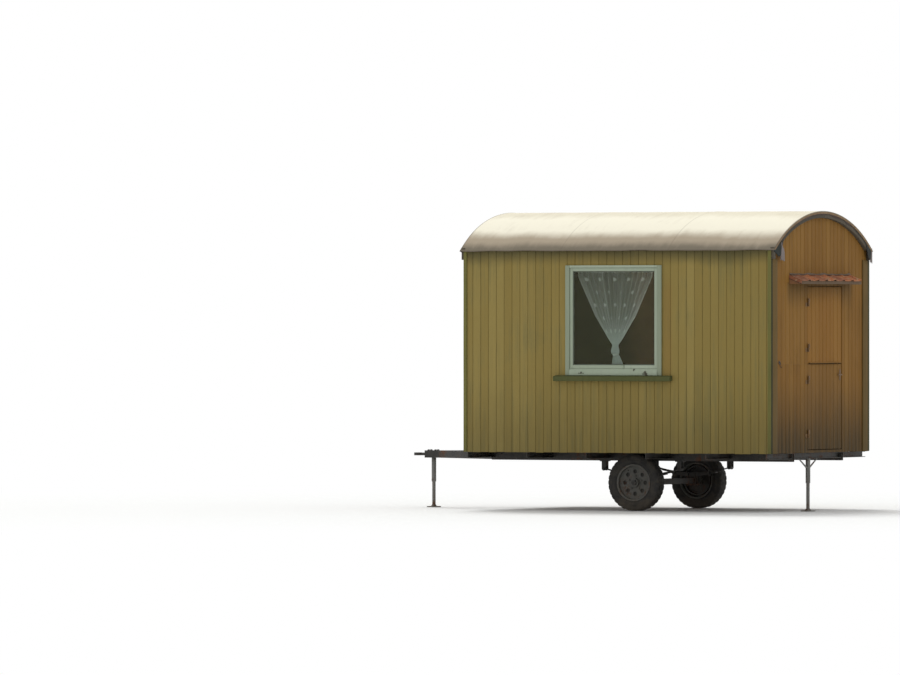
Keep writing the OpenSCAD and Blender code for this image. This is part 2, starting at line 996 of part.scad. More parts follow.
module door_leaf(span, hinges) {
    difference() {
        union() {
            block([leaf_back, leaf_near, span[0]], [half_length, leaf_far, span[1]]);
            for (z = hinges)
                hinge_knuckle(z + knuckle_height + collar_gap);
        }
        for (z = hinges)
            translate([hinge_x, hinge_y, z])
                cylinder(h = 3 * knuckle_height, r = hinge_pin_radius + pin_clearance);
    }
}

module door_lower_leaf() {
    color("#b07a2c")
        placed()
            door_leaf(lower_leaf, [hinge_heights[0], hinge_heights[1]]);
}

module door_upper_leaf() {
    rail_near = door_offset - drip_rail_length / 2;
    color("#b9812e")
        placed() {
            door_leaf(upper_leaf, [hinge_heights[2], hinge_heights[3]]);
            along_y(rail_near, rail_near + drip_rail_length)
                polygon([
                    [half_length - lap, upper_leaf[0]],
                    [half_length + drip_rail_depth, upper_leaf[0]],
                    [half_length + drip_rail_depth, upper_leaf[0] + drip_rail_face],
                    [half_length - lap, upper_leaf[0] + drip_rail_height]
                ]);
        }
}

module door_hinges() {
    color("#8f6a30")
        placed()
            for (z = hinge_heights) {
                block([half_length, hinge_y - hinge_plate_width, z],
                    [half_length + hinge_plate, hinge_y, z + knuckle_height]);
                translate([hinge_x, hinge_y, z]) {
                    cylinder(h = knuckle_height, r = knuckle_radius);
                    cylinder(h = 2 * knuckle_height + collar_gap, r = hinge_pin_radius);
                }
            }
}

module door_latch() {
    color("#3c3a36")
        placed()
            translate([half_length, leaf_far - latch_inset, lower_leaf[1] - latch_drop]) {
                translate([0, -latch_plate[1] / 2, -latch_plate[2] / 2])
                    cube(latch_plate);
                rotate([0, 90, 0])
                    cylinder(h = latch_spindle_length, r = latch_spindle_radius);
                translate([latch_spindle_length - latch_lever[0],
                    latch_lever[2] / 2 - latch_lever[1], -latch_lever[2] / 2])
                    cube(latch_lever);
            }
}

// Windows

// A rectangular ring, drawn about the window's place in X and Z
module ring_area(low, high, inner_low, inner_high) {
    difference() {
        translate(low)
            square(high - low);
        translate(inner_low)
            square(inner_high - inner_low);
    }
}

frame_low = [window_x - window_width / 2, window_z];
frame_high = [window_x + window_width / 2, window_z + window_height];
sash_low = frame_low + [frame_width, frame_bottom];
sash_high = frame_high - [frame_width, frame_head];
pane_low = sash_low + [sash_width, sash_width];
pane_high = sash_high - [sash_width, sash_width];

// Solid between two depths behind the wall's outer face, on one side of the hut
module in_wall(side, front, back) {
    y0 = side * (half_width - front);
    y1 = side * (half_width - back);
    along_y(min(y0, y1), max(y0, y1))
        children();
}

module window_frame(side) {
    color("#d3dccb")
        placed()
            in_wall(side, -frame_proud, frame_depth - frame_proud)
                ring_area(frame_low, frame_high, sash_low, sash_high);
}

module window_sash(side) {
    margin = [seat, seat];
    back = sash_setback + sash_depth - frame_proud;
    color("#dfe4d6")
        placed()
            in_wall(side, sash_setback - frame_proud, back)
                ring_area(sash_low + margin, sash_high - margin, pane_low, pane_high);
}

module window_glass(side) {
    margin = [seat, seat];
    middle = sash_setback + sash_depth / 2 - frame_proud;
    color("#5a6a5c", 0.4)
        placed()
            in_wall(side, middle - glass_thickness / 2, middle + glass_thickness / 2)
                translate(pane_low + margin)
                    square(pane_high - pane_low - 2 * margin);
}

module window_frame_near() {
    window_frame(-1);
}

module window_frame_far() {
    window_frame(1);
}

module window_sash_near() {
    window_sash(-1);
}

module window_sash_far() {
    window_sash(1);
}

module window_glass_near() {
    window_glass(-1);
}

module window_glass_far() {
    window_glass(1);
}

module window_sills() {
    color("#6f6a39")
        placed()
            for (side = [-1, 1])
                along_x(window_x - sill_length / 2, window_x + sill_length / 2)
                    polygon([
                        [side * half_width, window_z],
                        [side * (half_width + sill_projection), window_z - sill_slope],
                        [side * (half_width + sill_projection), window_z - sill_height],
                        [side * half_width, window_z - sill_height]
                    ]);
}

module curtain_rods() {
    half = window_width / 2 + rod_overrun;
    color("#b8b2a4")
        placed()
            for (side = [-1, 1]) {
                translate([window_x, side * rod_y, rod_z])
                    rotate([0, 90, 0])
                        cylinder(h = 2 * half, r = rod_radius, center = true);
                for (end = [-1, 1])
                    translate([window_x + end * (half - rod_bracket[0] / 2),
                        side * (inner_side - (rod_standoff + rod_radius) / 2), rod_z])
                        cube([rod_bracket[0], rod_standoff + rod_radius, rod_bracket[1]],
                            center = true);
            }
}

// The tied curtain: a flat wedge from the rod down to its knot, and a short tail
module curtain(side) {
    top = rod_z - rod_radius - seat;
    tail_z = knot_z - curtain_tail;
    knot = curtain_knot_width / 2;
    color("#e9e6dc")
        placed()
            in_wall(side, half_width - rod_y - curtain_thickness / 2,
                half_width - rod_y + curtain_thickness / 2)
                translate([window_x, 0])
                    polygon([
                        [-curtain_width / 2, top], [curtain_width / 2, top],
                        [knot, knot_z + knot_half_height], [knot * knot_waist, knot_z],
                        [knot * tail_flare, tail_z], [-knot * tail_flare, tail_z],
                        [-knot * knot_waist, knot_z], [-knot, knot_z + knot_half_height]
                    ]);
}

module curtain_near() {
    curtain(-1);
}

module curtain_far() {
    curtain(1);
}

// Canopy

// Height of the deck and of the tiles' underside at a distance out from the wall
function deck_z(out) = fascia_top + canopy_slope * (canopy_projection - out);
function bed_z(out) = deck_z(out) + seat;

module canopy_deck() {
    out = canopy_projection - fascia_thickness;
    half = canopy_width / 2;
    color("#7a6a50")
        placed()
            translate([half_length, 0, 0]) {
                along_y(-half, half)
                    polygon([
                        [0, deck_z(0)], [out, deck_z(out)],
                        [out, deck_z(out) - canopy_deck_thickness],
                        [0, deck_z(0) - canopy_deck_thickness]
                    ]);
                for (side = [-1, 1])
                    along_y(side * (half - cheek_thickness / 2) - cheek_thickness / 2,
                        side * (half - cheek_thickness / 2) + cheek_thickness / 2)
                        polygon([
                            [0, canopy_z], [out, canopy_z],
                            [out, deck_z(out) - lap], [0, deck_z(0) - lap]
                        ]);
            }
}

module canopy_fascia() {
    out = canopy_projection - fascia_thickness;
    color("#6d6a62")
        placed()
            translate([half_length, 0, 0])
                along_y(-canopy_width / 2, canopy_width / 2)
                    polygon([
                        [out, canopy_z], [canopy_projection, canopy_z],
                        [canopy_projection, fascia_top], [out, deck_z(out)]
                    ]);
}

module canopy_tiles() {
    color("#b4533a")
        placed()
            translate([half_length, 0, 0])
                along_y(-canopy_width / 2, canopy_width / 2)
                    polygon([
                        [0, bed_z(0)], [canopy_projection, bed_z(canopy_projection)],
                        [canopy_projection, bed_z(canopy_projection) + tile_thickness],
                        [0, bed_z(0) + tile_thickness]
                    ]);
}

chassis_rails();
cross_members();
drawbar_arms();
drawbar_head();
towing_eye();
drawbar_prop();
door_end_prop();
axle();
springs();
spring_hangers();
wheel_near();
tyre_near();
wheel_far();
tyre_far();
floor_joists();
floor_boards();
wall_near();
wall_far();
wall_drawbar_end();
door_wall_near();
door_wall_far();
door_wall_gable();
corner_boards();
roof_bows();
roof_boards();
roof_felt();
verge_boards();
door_frame();
door_lower_leaf();
door_upper_leaf();
door_hinges();
door_latch();
window_frame_near();
window_sash_near();
window_glass_near();
window_frame_far();
window_sash_far();
window_glass_far();
window_sills();
curtain_rods();
curtain_near();
curtain_far();
canopy_deck();
canopy_fascia();
canopy_tiles();
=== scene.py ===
import math
import random

import bmesh
import bpy
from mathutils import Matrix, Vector, noise


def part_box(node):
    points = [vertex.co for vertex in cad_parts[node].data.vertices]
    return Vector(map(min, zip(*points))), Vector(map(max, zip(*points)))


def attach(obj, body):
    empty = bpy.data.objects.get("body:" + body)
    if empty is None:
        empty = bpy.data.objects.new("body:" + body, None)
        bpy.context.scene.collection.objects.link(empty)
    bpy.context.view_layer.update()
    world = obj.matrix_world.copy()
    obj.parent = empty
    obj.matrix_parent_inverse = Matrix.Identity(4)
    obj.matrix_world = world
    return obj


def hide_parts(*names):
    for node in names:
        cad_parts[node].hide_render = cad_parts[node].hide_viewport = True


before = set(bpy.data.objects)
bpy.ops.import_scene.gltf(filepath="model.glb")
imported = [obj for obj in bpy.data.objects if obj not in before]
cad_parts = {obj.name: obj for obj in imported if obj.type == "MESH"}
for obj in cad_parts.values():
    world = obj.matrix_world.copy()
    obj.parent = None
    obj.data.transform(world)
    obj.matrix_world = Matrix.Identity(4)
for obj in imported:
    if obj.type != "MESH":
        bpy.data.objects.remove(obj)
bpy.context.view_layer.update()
print("frame loaded")


# Puts a mesh, a lamp or the camera into the scene
def placed(name, data):
    made = bpy.data.objects.new(name, data)
    bpy.context.scene.collection.objects.link(made)
    return made


# The camera stands far off with a long lens, level with the middle of the window
cameraLook = {
    "target": (-1.578, -0.802, 1.778),
    "azimuth": 26.95,
    "distance": 95,
    "height": 1.974,
    "lens": 366.5,
}


def addCamera(look):
    turn = math.radians(look["azimuth"])
    reach = look["distance"]
    target = Vector(look["target"])
    data = bpy.data.cameras.new("camera")
    data.lens = look["lens"]
    data.clip_end = 4 * reach
    made = placed("camera", data)
    made.location = (target.x + reach * math.sin(turn), target.y - reach * math.cos(turn), look["height"])
    made.rotation_euler = (target - made.location).to_track_quat("-Z", "Y").to_euler()
    bpy.context.scene.camera = made


# A socket of a material: sums, products and powers of wires add Math nodes
class Wire:
    def __init__(self, nodes, socket):
        self.nodes = nodes
        self.socket = socket

    def math(self, operation, other=0.0):
        return self.nodes.add("Math", {"operation": operation}, {0: self, 1: other})

    def __add__(self, other):
        return self.math("ADD", other)

    def __sub__(self, other):
        return self.math("SUBTRACT", other)

    def __rsub__(self, other):
        return self.nodes.add("Math", {"operation": "SUBTRACT"}, {0: other, 1: self})

    def __mul__(self, other):
        return self.math("MULTIPLY", other)

    def __truediv__(self, other):
        return self.math("DIVIDE", other)

    def __pow__(self, other):
        return self.math("POWER", other)

    def __mod__(self, other):
        return self.math("FLOORED_MODULO", other)

    def __abs__(self):
        return self.math("ABSOLUTE")

    __radd__ = __add__
    __rmul__ = __mul__


# The nodes of one material, or of the sky
class Nodes:
    def __init__(self, tree):
        self.tree = tree
        self.where = None

    # Any node: its type, its settings, then the values or wires of its sockets
    def add(self, kind, settings=None, sockets=None, out=0):
        made = self.tree.nodes.new("ShaderNode" + kind)
        for name, value in (settings or {}).items():
            setattr(made, name, value)
        for name, value in (sockets or {}).items():
            self.plug(made.inputs[name], value)
        return Wire(self, made.outputs[out])

    def plug(self, socket, value):
        if isinstance(value, Wire):
            self.tree.links.new(value.socket, socket)
        elif socket.type == "RGBA":
            socket.default_value = (*value[:3], 1)
        else:
            socket.default_value = value

    def place(self):
        if self.where is None:
            self.where = self.add("TexCoord", out=3)
        return self.where

    def axis(self, number):
        return self.add("SeparateXYZ", sockets={0: self.place()}, out=number)

    # Cloudy spots of a size in metres, drawn out along an axis where stretch is small
    def spots(self, size, detail=4, rough=0.55, stretch=(1, 1, 1), shift=0):
        moved = self.add("Mapping", sockets={0: self.place(), "Location": (shift, shift * 1.7, shift * 0.6),
                                             "Scale": stretch})
        return self.add("TexNoise", sockets={"Vector": moved, "Scale": 1 / size, "Detail": detail,
                                             "Roughness": rough})

    # 0 at low, 1 at high and smooth between, also where low is the greater
    def fade(self, value, low, high):
        return self.add("MapRange", {"interpolation_type": "SMOOTHSTEP"}, {0: value, 1: low, 2: high})

    def mix(self, first, second, share):
        return self.add("Mix", {"data_type": "RGBA"}, {0: share, 6: first, 7: second}, 2)

    # A colour with others over it, each with the share it covers
    def coats(self, colour, *others):
        for other, share in others:
            colour = self.mix(colour, other, share)
        return colour

    def mark(self, name):
        return self.add("Attribute", {"attribute_name": name}, out=2)

    # How near a point is, 1 at it and 0 a reach away
    def near(self, point, reach):
        gap = self.add("VectorMath", {"operation": "DISTANCE"}, {0: self.place(), 1: point}, 1)
        return self.fade(gap, reach, 0)


class Finish(Nodes):
    def __init__(self, name, **fixed):
        self.material = bpy.data.materials.new(name)
        self.material.use_nodes = True
        super().__init__(self.material.node_tree)
        self.shader = self.tree.nodes["Principled BSDF"]
        names = {"rough": "Roughness", "gloss": "Specular IOR Level", "colour": "Base Color",
                 "sheen": "Sheen Weight"}
        for key, value in fixed.items():
            self.plug(self.shader.inputs[names[key]], value)

    def paint(self, colour, rough=None, metal=None, alpha=None, bumps=None, depth=0.001):
        given = {"Base Color": colour, "Roughness": rough, "Metallic": metal, "Alpha": alpha}
        if bumps is not None:
            given["Normal"] = self.add("Bump", sockets={"Height": bumps, "Distance": depth, "Strength": 1.0})
        for name, value in given.items():
            if value is not None:
                self.plug(self.shader.inputs[name], value)
        return self.material


stageLook = {
    "floor": (0.8, 0.8, 0.785),
    "halfSize": 90,
    "fadeFrom": 5,
    "fadeTo": 12,
    "skyLevel": 0.78,
    "skyColour": (0.98, 0.99, 1.0),
    "sunPower": 1.7,
    "sunWidth": 24,
    "sunFrom": (-0.35, 0.42, 0.84),
}


def addStage(look):
    side = look["halfSize"]
    mesh = bpy.data.meshes.new("floor")
    corners = [(x * side, y * side, 0) for x, y in ((-1, -1), (1, -1), (1, 1), (-1, 1))]
    mesh.from_pydata(corners, [], [(0, 1, 2, 3)])
    placed("floor", mesh)
    finish = Finish("floor", colour=look["floor"], rough=0.9, gloss=0.15)
    away = finish.add("VectorMath", {"operation": "LENGTH"}, {0: finish.place()}, 1)
    shown = finish.add("LightPath") + finish.add("LightPath", out=3)
    share = finish.fade(away, look["fadeFrom"], look["fadeTo"]) * shown
    body = Wire(finish, finish.shader.outputs[0])
    glow = finish.add("Emission", sockets={0: (1, 1, 1), 1: 1.0})
    output = finish.tree.nodes["Material Output"].inputs[0]
    finish.plug(output, finish.add("MixShader", sockets={0: share, 1: body, 2: glow}))
    mesh.materials.append(finish.material)

    world = bpy.data.worlds.new("studio")
    world.use_nodes = True
    bpy.context.scene.world = world
    sky = Nodes(world.node_tree)
    seen = sky.add("LightPath") + sky.add("LightPath", out=3) + sky.add("LightPath", out=6)
    seen = seen.math("MINIMUM", 1.0)
    background = world.node_tree.nodes["Background"]
    sky.plug(background.inputs[0], sky.mix(look["skyColour"], (1, 1, 1), seen))
    sky.plug(background.inputs[1], look["skyLevel"] + seen * (1 - look["skyLevel"]))

    data = bpy.data.lights.new("sun", "SUN")
    data.energy = look["sunPower"]
    data.angle = math.radians(look["sunWidth"])
    placed("sun", data).rotation_euler = Vector(look["sunFrom"]).to_track_quat("Z", "Y").to_euler()
    bpy.context.scene.view_settings.view_transform = "Standard"


addCamera(cameraLook)
addStage(stageLook)
print("camera, stage and light")


# Making meshes

seat = 0.0003  # the clearance between a piece and what it lies on
lift = 0.0004  # how far the back of a trim stands off the wall
skyHigh = 99  # above everything, where a wall's top is cut by the arch


# Gathers the solids of one piece. Each point has a tone, one value a board, and a mark,
# 1 where dirt gathers or where shade is painted.
class Shape:
    def __init__(self, seed=1):
        self.points = []
        self.faces = []
        self.tones = []
        self.marks = []
        self.slots = []
        self.extra = {}
        self.chance = random.Random(seed)

    def add(self, points, faces, tone=None, marks=None, slot=0):
        start = len(self.points)
        value = self.chance.random() if tone is None else tone
        self.points += [tuple(p) for p in points]
        self.faces += [tuple(start + i for i in face) for face in faces]
        self.tones += [value] * len(points)
        self.marks += marks or [0.0] * len(points)
        self.slots += [slot] * len(faces)

    # A box between two corners, moved by turn where that is given
    def box(self, low, high, turn=None, **kind):
        corners = [(x, y, z) for x in (low[0], high[0]) for y in (low[1], high[1]) for z in (low[2], high[2])]
        points = [turn(*p) for p in corners] if turn else corners
        quads = [(0, 1, 3, 2), (4, 6, 7, 5), (0, 4, 5, 1), (2, 3, 7, 6), (0, 2, 6, 4), (1, 5, 7, 3)]
        self.add(points, quads, **kind)

    # An outline in two axes, drawn out between two values of the third
    def prism(self, outline, start, end, turn, **kind):
        count = len(outline)
        points = [turn(a, b, c) for c in (start, end) for a, b in outline]
        sides = [(i, (i + 1) % count, count + (i + 1) % count, count + i) for i in range(count)]
        self.add(points, sides + [tuple(range(count)), tuple(range(count, 2 * count))], **kind)

    # A sheet with a front and a back over a grid of lines; keep says which cells are there
    def sheet(self, us, vs, front, back, keep=None, mark=None, **kind):
        cells = set()
        for i in range(len(us) - 1):
            for j in range(len(vs) - 1):
                if keep is None or keep((us[i] + us[i + 1]) / 2, (vs[j] + vs[j + 1]) / 2):
                    cells.add((i, j))
        index, points, marks, faces = {}, [], [], []

        def point(i, j, side):
            if (i, j, side) not in index:
                index[i, j, side] = len(points)
                points.append((front if side else back)(us[i], vs[j]))
                marks.append(mark(us[i], vs[j]) if mark else 0.0)
            return index[i, j, side]

        for i, j in sorted(cells):
            for side in (0, 1):
                faces.append([point(i + a, j + b, side) for a, b in ((0, 0), (1, 0), (1, 1), (0, 1))])
            rims = {(i - 1, j): ((0, 0), (0, 1)), (i + 1, j): ((1, 0), (1, 1)),
                    (i, j - 1): ((0, 0), (1, 0)), (i, j + 1): ((0, 1), (1, 1))}
            for beside, ((a, b), (c, d)) in rims.items():
                if beside not in cells:
                    faces.append([point(i + a, j + b, 0), point(i + a, j + b, 1),
                                  point(i + c, j + d, 1), point(i + c, j + d, 0)])
        self.add(points, faces, marks=marks, **kind)

    # A closed outline of (radius, height), turned about an axis
    def turned(self, outline, steps, turn, rough=None, **kind):
        count = len(outline)
        points, faces = [], []
        for k in range(steps):
            angle = 2 * math.pi * k / steps
            for number, (r, h) in enumerate(outline):
                wide = r + (rough(k, number) if rough else 0)
                points.append(turn(wide * math.cos(angle), wide * math.sin(angle), h))
            near, far = k * count, (k + 1) % steps * count
            for i in range(count):
                j = (i + 1) % count
                faces.append((near + i, near + j, far + j, far + i))
        self.add(points, faces, **kind)

    # A round bar along a path
    def bar(self, path, radius, sides=8, **kind):
        path = [Vector(p) for p in path]
        up = Vector((0.13, 0.21, 0.97))
        points, faces = [], []
        for i, p in enumerate(path):
            along = (path[min(i + 1, len(path) - 1)] - path[max(i - 1, 0)]).normalized()
            across = along.cross(up).normalized()
            up = across.cross(along).normalized()
            for k in range(sides):
                angle = 2 * math.pi * k / sides
                points.append(p + radius * (math.cos(angle) * across + math.sin(angle) * up))
        for i in range(len(path) - 1):
            for k in range(sides):
                j = (k + 1) % sides
                faces.append((i * sides + k, i * sides + j, (i + 1) * sides + j, (i + 1) * sides + k))
        faces += [tuple(range(sides)), tuple(range(len(points) - sides, len(points)))]
        self.add(points, faces, **kind)

    # Makes the piece, on its body, with its finish, and hides the nodes it stands for
    def piece(self, name, finishes, slot, body="hut", replaces=(), bevel=0, smooth=0):
        mesh = bpy.data.meshes.new(name)
        mesh.from_pydata(self.points, [], self.faces)
        for key, values in {"tone": self.tones, "mark": self.marks, **self.extra}.items():
            mesh.attributes.new(key, "FLOAT", "POINT").data.foreach_set("value", values)
        for finish in finishes if isinstance(finishes, list) else [finishes]:
            mesh.materials.append(finish)
        mesh.polygons.foreach_set("material_index", self.slots)
        work = bmesh.new()
        work.from_mesh(mesh)
        bmesh.ops.recalc_face_normals(work, faces=work.faces)
        work.to_mesh(mesh)
        work.free()
        made = placed(name, mesh)
        if bevel:
            softened(made, bevel)
        if smooth or bevel:
            made.data.polygons.foreach_set("use_smooth", [True] * len(made.data.polygons))
            made.data.set_sharp_from_angle(angle=math.radians(smooth or 32))
        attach(made, body)
        if replaces:
            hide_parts(*replaces)
        return made


def roundedEdges(thing, width):
    edge = thing.modifiers.new("edges", "BEVEL")
    edge.width = width
    edge.segments = 2
    edge.limit_method = "ANGLE"
    edge.angle_limit = math.radians(40)
    return edge


# Rounds the sharp edges of a piece of our own, for good
def softened(made, width):
    roundedEdges(made, width)
    bpy.context.view_layer.update()
    done = bpy.data.meshes.new_from_object(made.evaluated_get(bpy.context.evaluated_depsgraph_get()))
    made.modifiers.clear()
    made.data = done


# A finish on a node that stays, with its edges rounded
def dress(name, finish, width):
    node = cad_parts[name]
    for slot in node.material_slots:
        slot.material = finish
    node.modifiers.new("weld", "WELD").merge_threshold = 0.0001
    roundedEdges(node, width).harden_normals = True


def lines(start, end, count):
    return [start + (end - start) * i / count for i in range(count + 1)]


def wobble(a, b, size, seed=0.0):
    return size * noise.noise(Vector((a, b, seed)))


# Finishes

def grainAlong(axis, squeeze):
    return tuple(squeeze if letter == axis else 1 for letter in "xyz")


# Old paint on boards. Painted shade, partly dirt, darkens the wall under the eave or the canopy: from
# and to which height, how far from the middle, with what share, and from which x on. Scars are
# points where the paint is off.
def paintedTimber(name, look):
    finish = Finish(name, gloss=look["gloss"])
    along = grainAlong(look["grain"], 0.05)
    grain = finish.spots(0.006, 5, 0.6, along)
    cloud = finish.spots(0.45, 4, 0.6)
    rain = finish.spots(0.035, 5, 0.62, (1, 1, 0.045), 3.1)
    mark = finish.mark("mark")
    height = finish.axis(2)
    sunned = finish.fade(finish.mark("tone") * 0.55 + cloud * 0.45, 0.38, 0.82)
    rained = finish.fade(rain * 0.6 + cloud * 0.4, 0.46, 0.68) * look["rain"]
    # Darker towards the bottom
    footDarkening = finish.fade(height + cloud * 0.35, look["footDarkening"][1], look["footDarkening"][0]) * look["footDarkeningShare"]
    colour = finish.coats(look["coat"], (look["pale"], sunned), (look["deep"], rained),
                          (look["dirtAndShade"], footDarkening * (0.72 + finish.fade(rain, 0.3, 0.65) * 0.28)))
    if "stained" in look:
        x, wide, low, high, share = look["stained"]
        stain = finish.fade(abs(finish.axis(0) - x), wide, wide * 0.3) * finish.fade(height, high, high - 0.2)
        stain = stain * finish.fade(height + rain * 0.3, low, low + 0.3)
        colour = finish.mix(colour, look["stain"], stain * share)
    # Painted shade, partly dirt, under the eave and under the canopy over the door
    if "overhangShade" in look:
        low, high, half, share, start = look["overhangShade"]
        overhangShade = finish.fade(height + (cloud - 0.5) * 0.1, low, high) * finish.fade(height, high + 0.015, high)
        overhangShade = overhangShade * finish.fade(abs(finish.axis(1)), half + 0.1, half)
        overhangShade = overhangShade * finish.fade(finish.axis(0), start - 0.1, start)
        colour = finish.mix(colour, look["dirtAndShade"], overhangShade * share)

    scuffs = finish.spots(0.028, 9, 0.68, along, 7.7) + mark * look["edgePeel"] + footDarkening * 0.05
    flake = finish.fade(scuffs, 1 - look["peel"], 1.035 - look["peel"])
    for point, reach in look.get("scars", ()):
        ragged = (finish.spots(0.011, 5, 0.7, shift=2.9) - 0.5) * 1.5
        flake = flake.math("MAXIMUM", finish.fade(finish.near(point, reach) + ragged, 0.4, 0.48))
    bare = finish.mix(look["bare"], look["bareDeep"], finish.fade(grain, 0.35, 0.7))
    # Darker along the marked joints with dirt, and painted shade where a mark stands for shade
    grimeAndShade = finish.fade(mark + (cloud - 0.5) * 0.5, 0.15, 0.95) * look["grimeAndShade"]
    colour = finish.coats(colour, (look["dirtAndShade"], grimeAndShade), (bare, flake))
    rough = look["rough"] + (cloud - 0.5) * 0.2 + flake * 0.2
    return finish.paint(colour, rough, bumps=grain * 0.35 + (1 - flake) * 0.7 + cloud * 0.3, depth=0.0012)


def sawnTimber(name, look):
    finish = Finish(name, gloss=0.2)
    along = grainAlong(look["grain"], 0.04)
    rings = finish.spots(0.02, 3, 0.5, along, 1.3)
    grain = finish.spots(0.004, 6, 0.65, along)
    cloud = finish.spots(0.3, 4, 0.6, shift=5.0)
    bands = finish.fade(abs((rings * 9) % 1.0 - 0.5), 0.08, 0.5)
    dark = bands * 0.5 + finish.mark("tone") * 0.3 + grain * 0.2
    colour = finish.coats(look["light"], (look["dark"], dark),
                          (look["stain"], finish.fade(cloud, 0.45, 0.75) * 0.5),
                          (look["stain"], finish.mark("mark") * 0.7))
    rough = look["rough"] + (grain - 0.5) * 0.2
    return finish.paint(colour, rough, bumps=grain * 0.6 + bands * 0.3, depth=0.0008)


def oldSteel(name, look):
    finish = Finish(name, gloss=0.4)
    cloud = finish.spots(0.16, 6, 0.62)
    fine = finish.spots(0.012, 6, 0.7, shift=2.2)
    low = finish.fade(finish.axis(2), look["mudLine"], 0.02)
    rust = finish.fade(cloud * 0.6 + fine * 0.4 + low * 0.05 + finish.mark("mark") * 0.2,
                       1 - look["rusted"], 1.08 - look["rusted"])
    rusty = finish.mix(look["rust"], look["rustDeep"], finish.fade(fine, 0.35, 0.65))
    dust = finish.fade(finish.spots(0.05, 5, 0.7, shift=9.0), 0.4, 0.75) * (0.25 + low * 0.6)
    colour = finish.coats(look["coat"], (look["faded"], finish.fade(cloud, 0.35, 0.7)), (rusty, rust),
                          (look["mud"], dust * look["dusty"]))
    rough = look["rough"] + rust * 0.3 + dust * 0.25
    metal = (1 - rust) * (1 - dust) * look["metal"] if look["metal"] else None
    return finish.paint(colour, rough, metal, bumps=rust * 0.6 + fine * 0.5, depth=0.0012)


timberLook = {
    "bare": (0.27, 0.22, 0.16),
    "bareDeep": (0.13, 0.1, 0.07),
    "rough": 0.68,
    "gloss": 0.12,
    "footDarkening": (0.55, 1.25),
    "footDarkeningShare": 0.45,
    "grimeAndShade": 0.85,
    "rain": 0.35,
    "peel": 0.18,
    "edgePeel": 0.02,
    "grain": "z",
}
yellowPaint = paintedTimber("yellow_paint", {
    **timberLook, "coat": (0.24, 0.176, 0.048), "pale": (0.282, 0.214, 0.066), "deep": (0.154, 0.136, 0.052),
    "dirtAndShade": (0.062, 0.056, 0.024), "footDarkening": (0.55, 1.7), "footDarkeningShare": 0.46, "gloss": 0.2, "rain": 0.5,
    "overhangShade": (2.49, 2.67, 9, 0.8, -9), "stain": (0.232, 0.142, 0.038),
    "stained": (1.112, 0.07, 1.35, 2.45, 0.45)})
orangeLook = {
    **timberLook, "coat": (0.21, 0.103, 0.021), "pale": (0.246, 0.127, 0.029), "deep": (0.136, 0.07, 0.018),
    "dirtAndShade": (0.046, 0.034, 0.016), "rain": 0.5, "footDarkening": (0.7, 1.65), "footDarkeningShare": 0.98,
    "overhangShade": (2.02, 2.335, 0.74, 0.5, 2)}
orangePaint = paintedTimber("orange_paint", orangeLook)
doorPaintLook = {
    **orangeLook, "coat": (0.236, 0.111, 0.021), "pale": (0.262, 0.13, 0.028), "deep": (0.156, 0.076, 0.019),
    "rain": 0.4, "overhangShade": (2.1, 2.335, 0.74, 0.4, 2)}
doorPaint = paintedTimber("door_paint", doorPaintLook)
lowerPaint = paintedTimber("lower_door_paint", {
    **doorPaintLook, "coat": (0.192, 0.096, 0.022), "pale": (0.22, 0.113, 0.028),
    "deep": (0.124, 0.066, 0.019)})
olivePaint = paintedTimber("olive_paint", {
    **timberLook, "coat": (0.148, 0.138, 0.042), "pale": (0.18, 0.164, 0.052), "deep": (0.08, 0.086, 0.03),
    "dirtAndShade": (0.046, 0.043, 0.02), "peel": 0.3, "rain": 0.5, "grimeAndShade": 0.35})
brownPaint = paintedTimber("brown_paint", {
    **timberLook, "coat": (0.132, 0.083, 0.026), "pale": (0.166, 0.102, 0.031), "deep": (0.084, 0.061, 0.022),
    "dirtAndShade": (0.026, 0.028, 0.014), "peel": 0.28, "rain": 0.8, "grimeAndShade": 0.95})
sillPaint = paintedTimber("sill_paint", {
    **timberLook, "coat": (0.072, 0.08, 0.027), "pale": (0.104, 0.106, 0.042), "deep": (0.04, 0.048, 0.02),
    "dirtAndShade": (0.034, 0.032, 0.018), "peel": 0.33, "grain": "x"})
vergePaint = paintedTimber("verge_paint", {
    **timberLook, "coat": (0.066, 0.056, 0.042), "pale": (0.104, 0.088, 0.066), "deep": (0.034, 0.034, 0.027),
    "dirtAndShade": (0.03, 0.028, 0.022), "peel": 0.3, "grain": "y"})
greyPaint = paintedTimber("grey_paint", {
    **timberLook, "coat": (0.126, 0.084, 0.052), "pale": (0.165, 0.116, 0.074), "deep": (0.072, 0.05, 0.034),
    "dirtAndShade": (0.042, 0.034, 0.024), "peel": 0.3, "grain": "y"})
deckPaint = paintedTimber("deck_paint", {
    **timberLook, "coat": (0.262, 0.134, 0.066), "pale": (0.31, 0.165, 0.088), "deep": (0.16, 0.085, 0.042),
    "dirtAndShade": (0.042, 0.03, 0.018), "grain": "y"})
whiteLook = {
    **timberLook, "coat": (0.318, 0.37, 0.276), "pale": (0.375, 0.425, 0.33), "deep": (0.24, 0.285, 0.205),
    "dirtAndShade": (0.1, 0.1, 0.066), "peel": 0.27, "edgePeel": 0.03, "rough": 0.42, "grimeAndShade": 0.5,
    "footDarkening": (0.5, 0.9), "grain": "x", "rain": 0.4, "gloss": 0.25, "bare": (0.085, 0.082, 0.055),
    "bareDeep": (0.045, 0.044, 0.03),
    "scars": (((0.115, -1.21, 1.414), 0.026), ((0.14, -1.21, 1.418), 0.032),
              ((0.165, -1.21, 1.412), 0.024), ((0.74, -1.205, 1.444), 0.03),
              ((0.746, -1.205, 1.425), 0.022), ((0.868, -1.21, 1.42), 0.038),
              ((0.88, -1.21, 1.402), 0.04), ((0.848, -1.21, 1.406), 0.028))}
whitePaint = paintedTimber("white_paint", whiteLook)
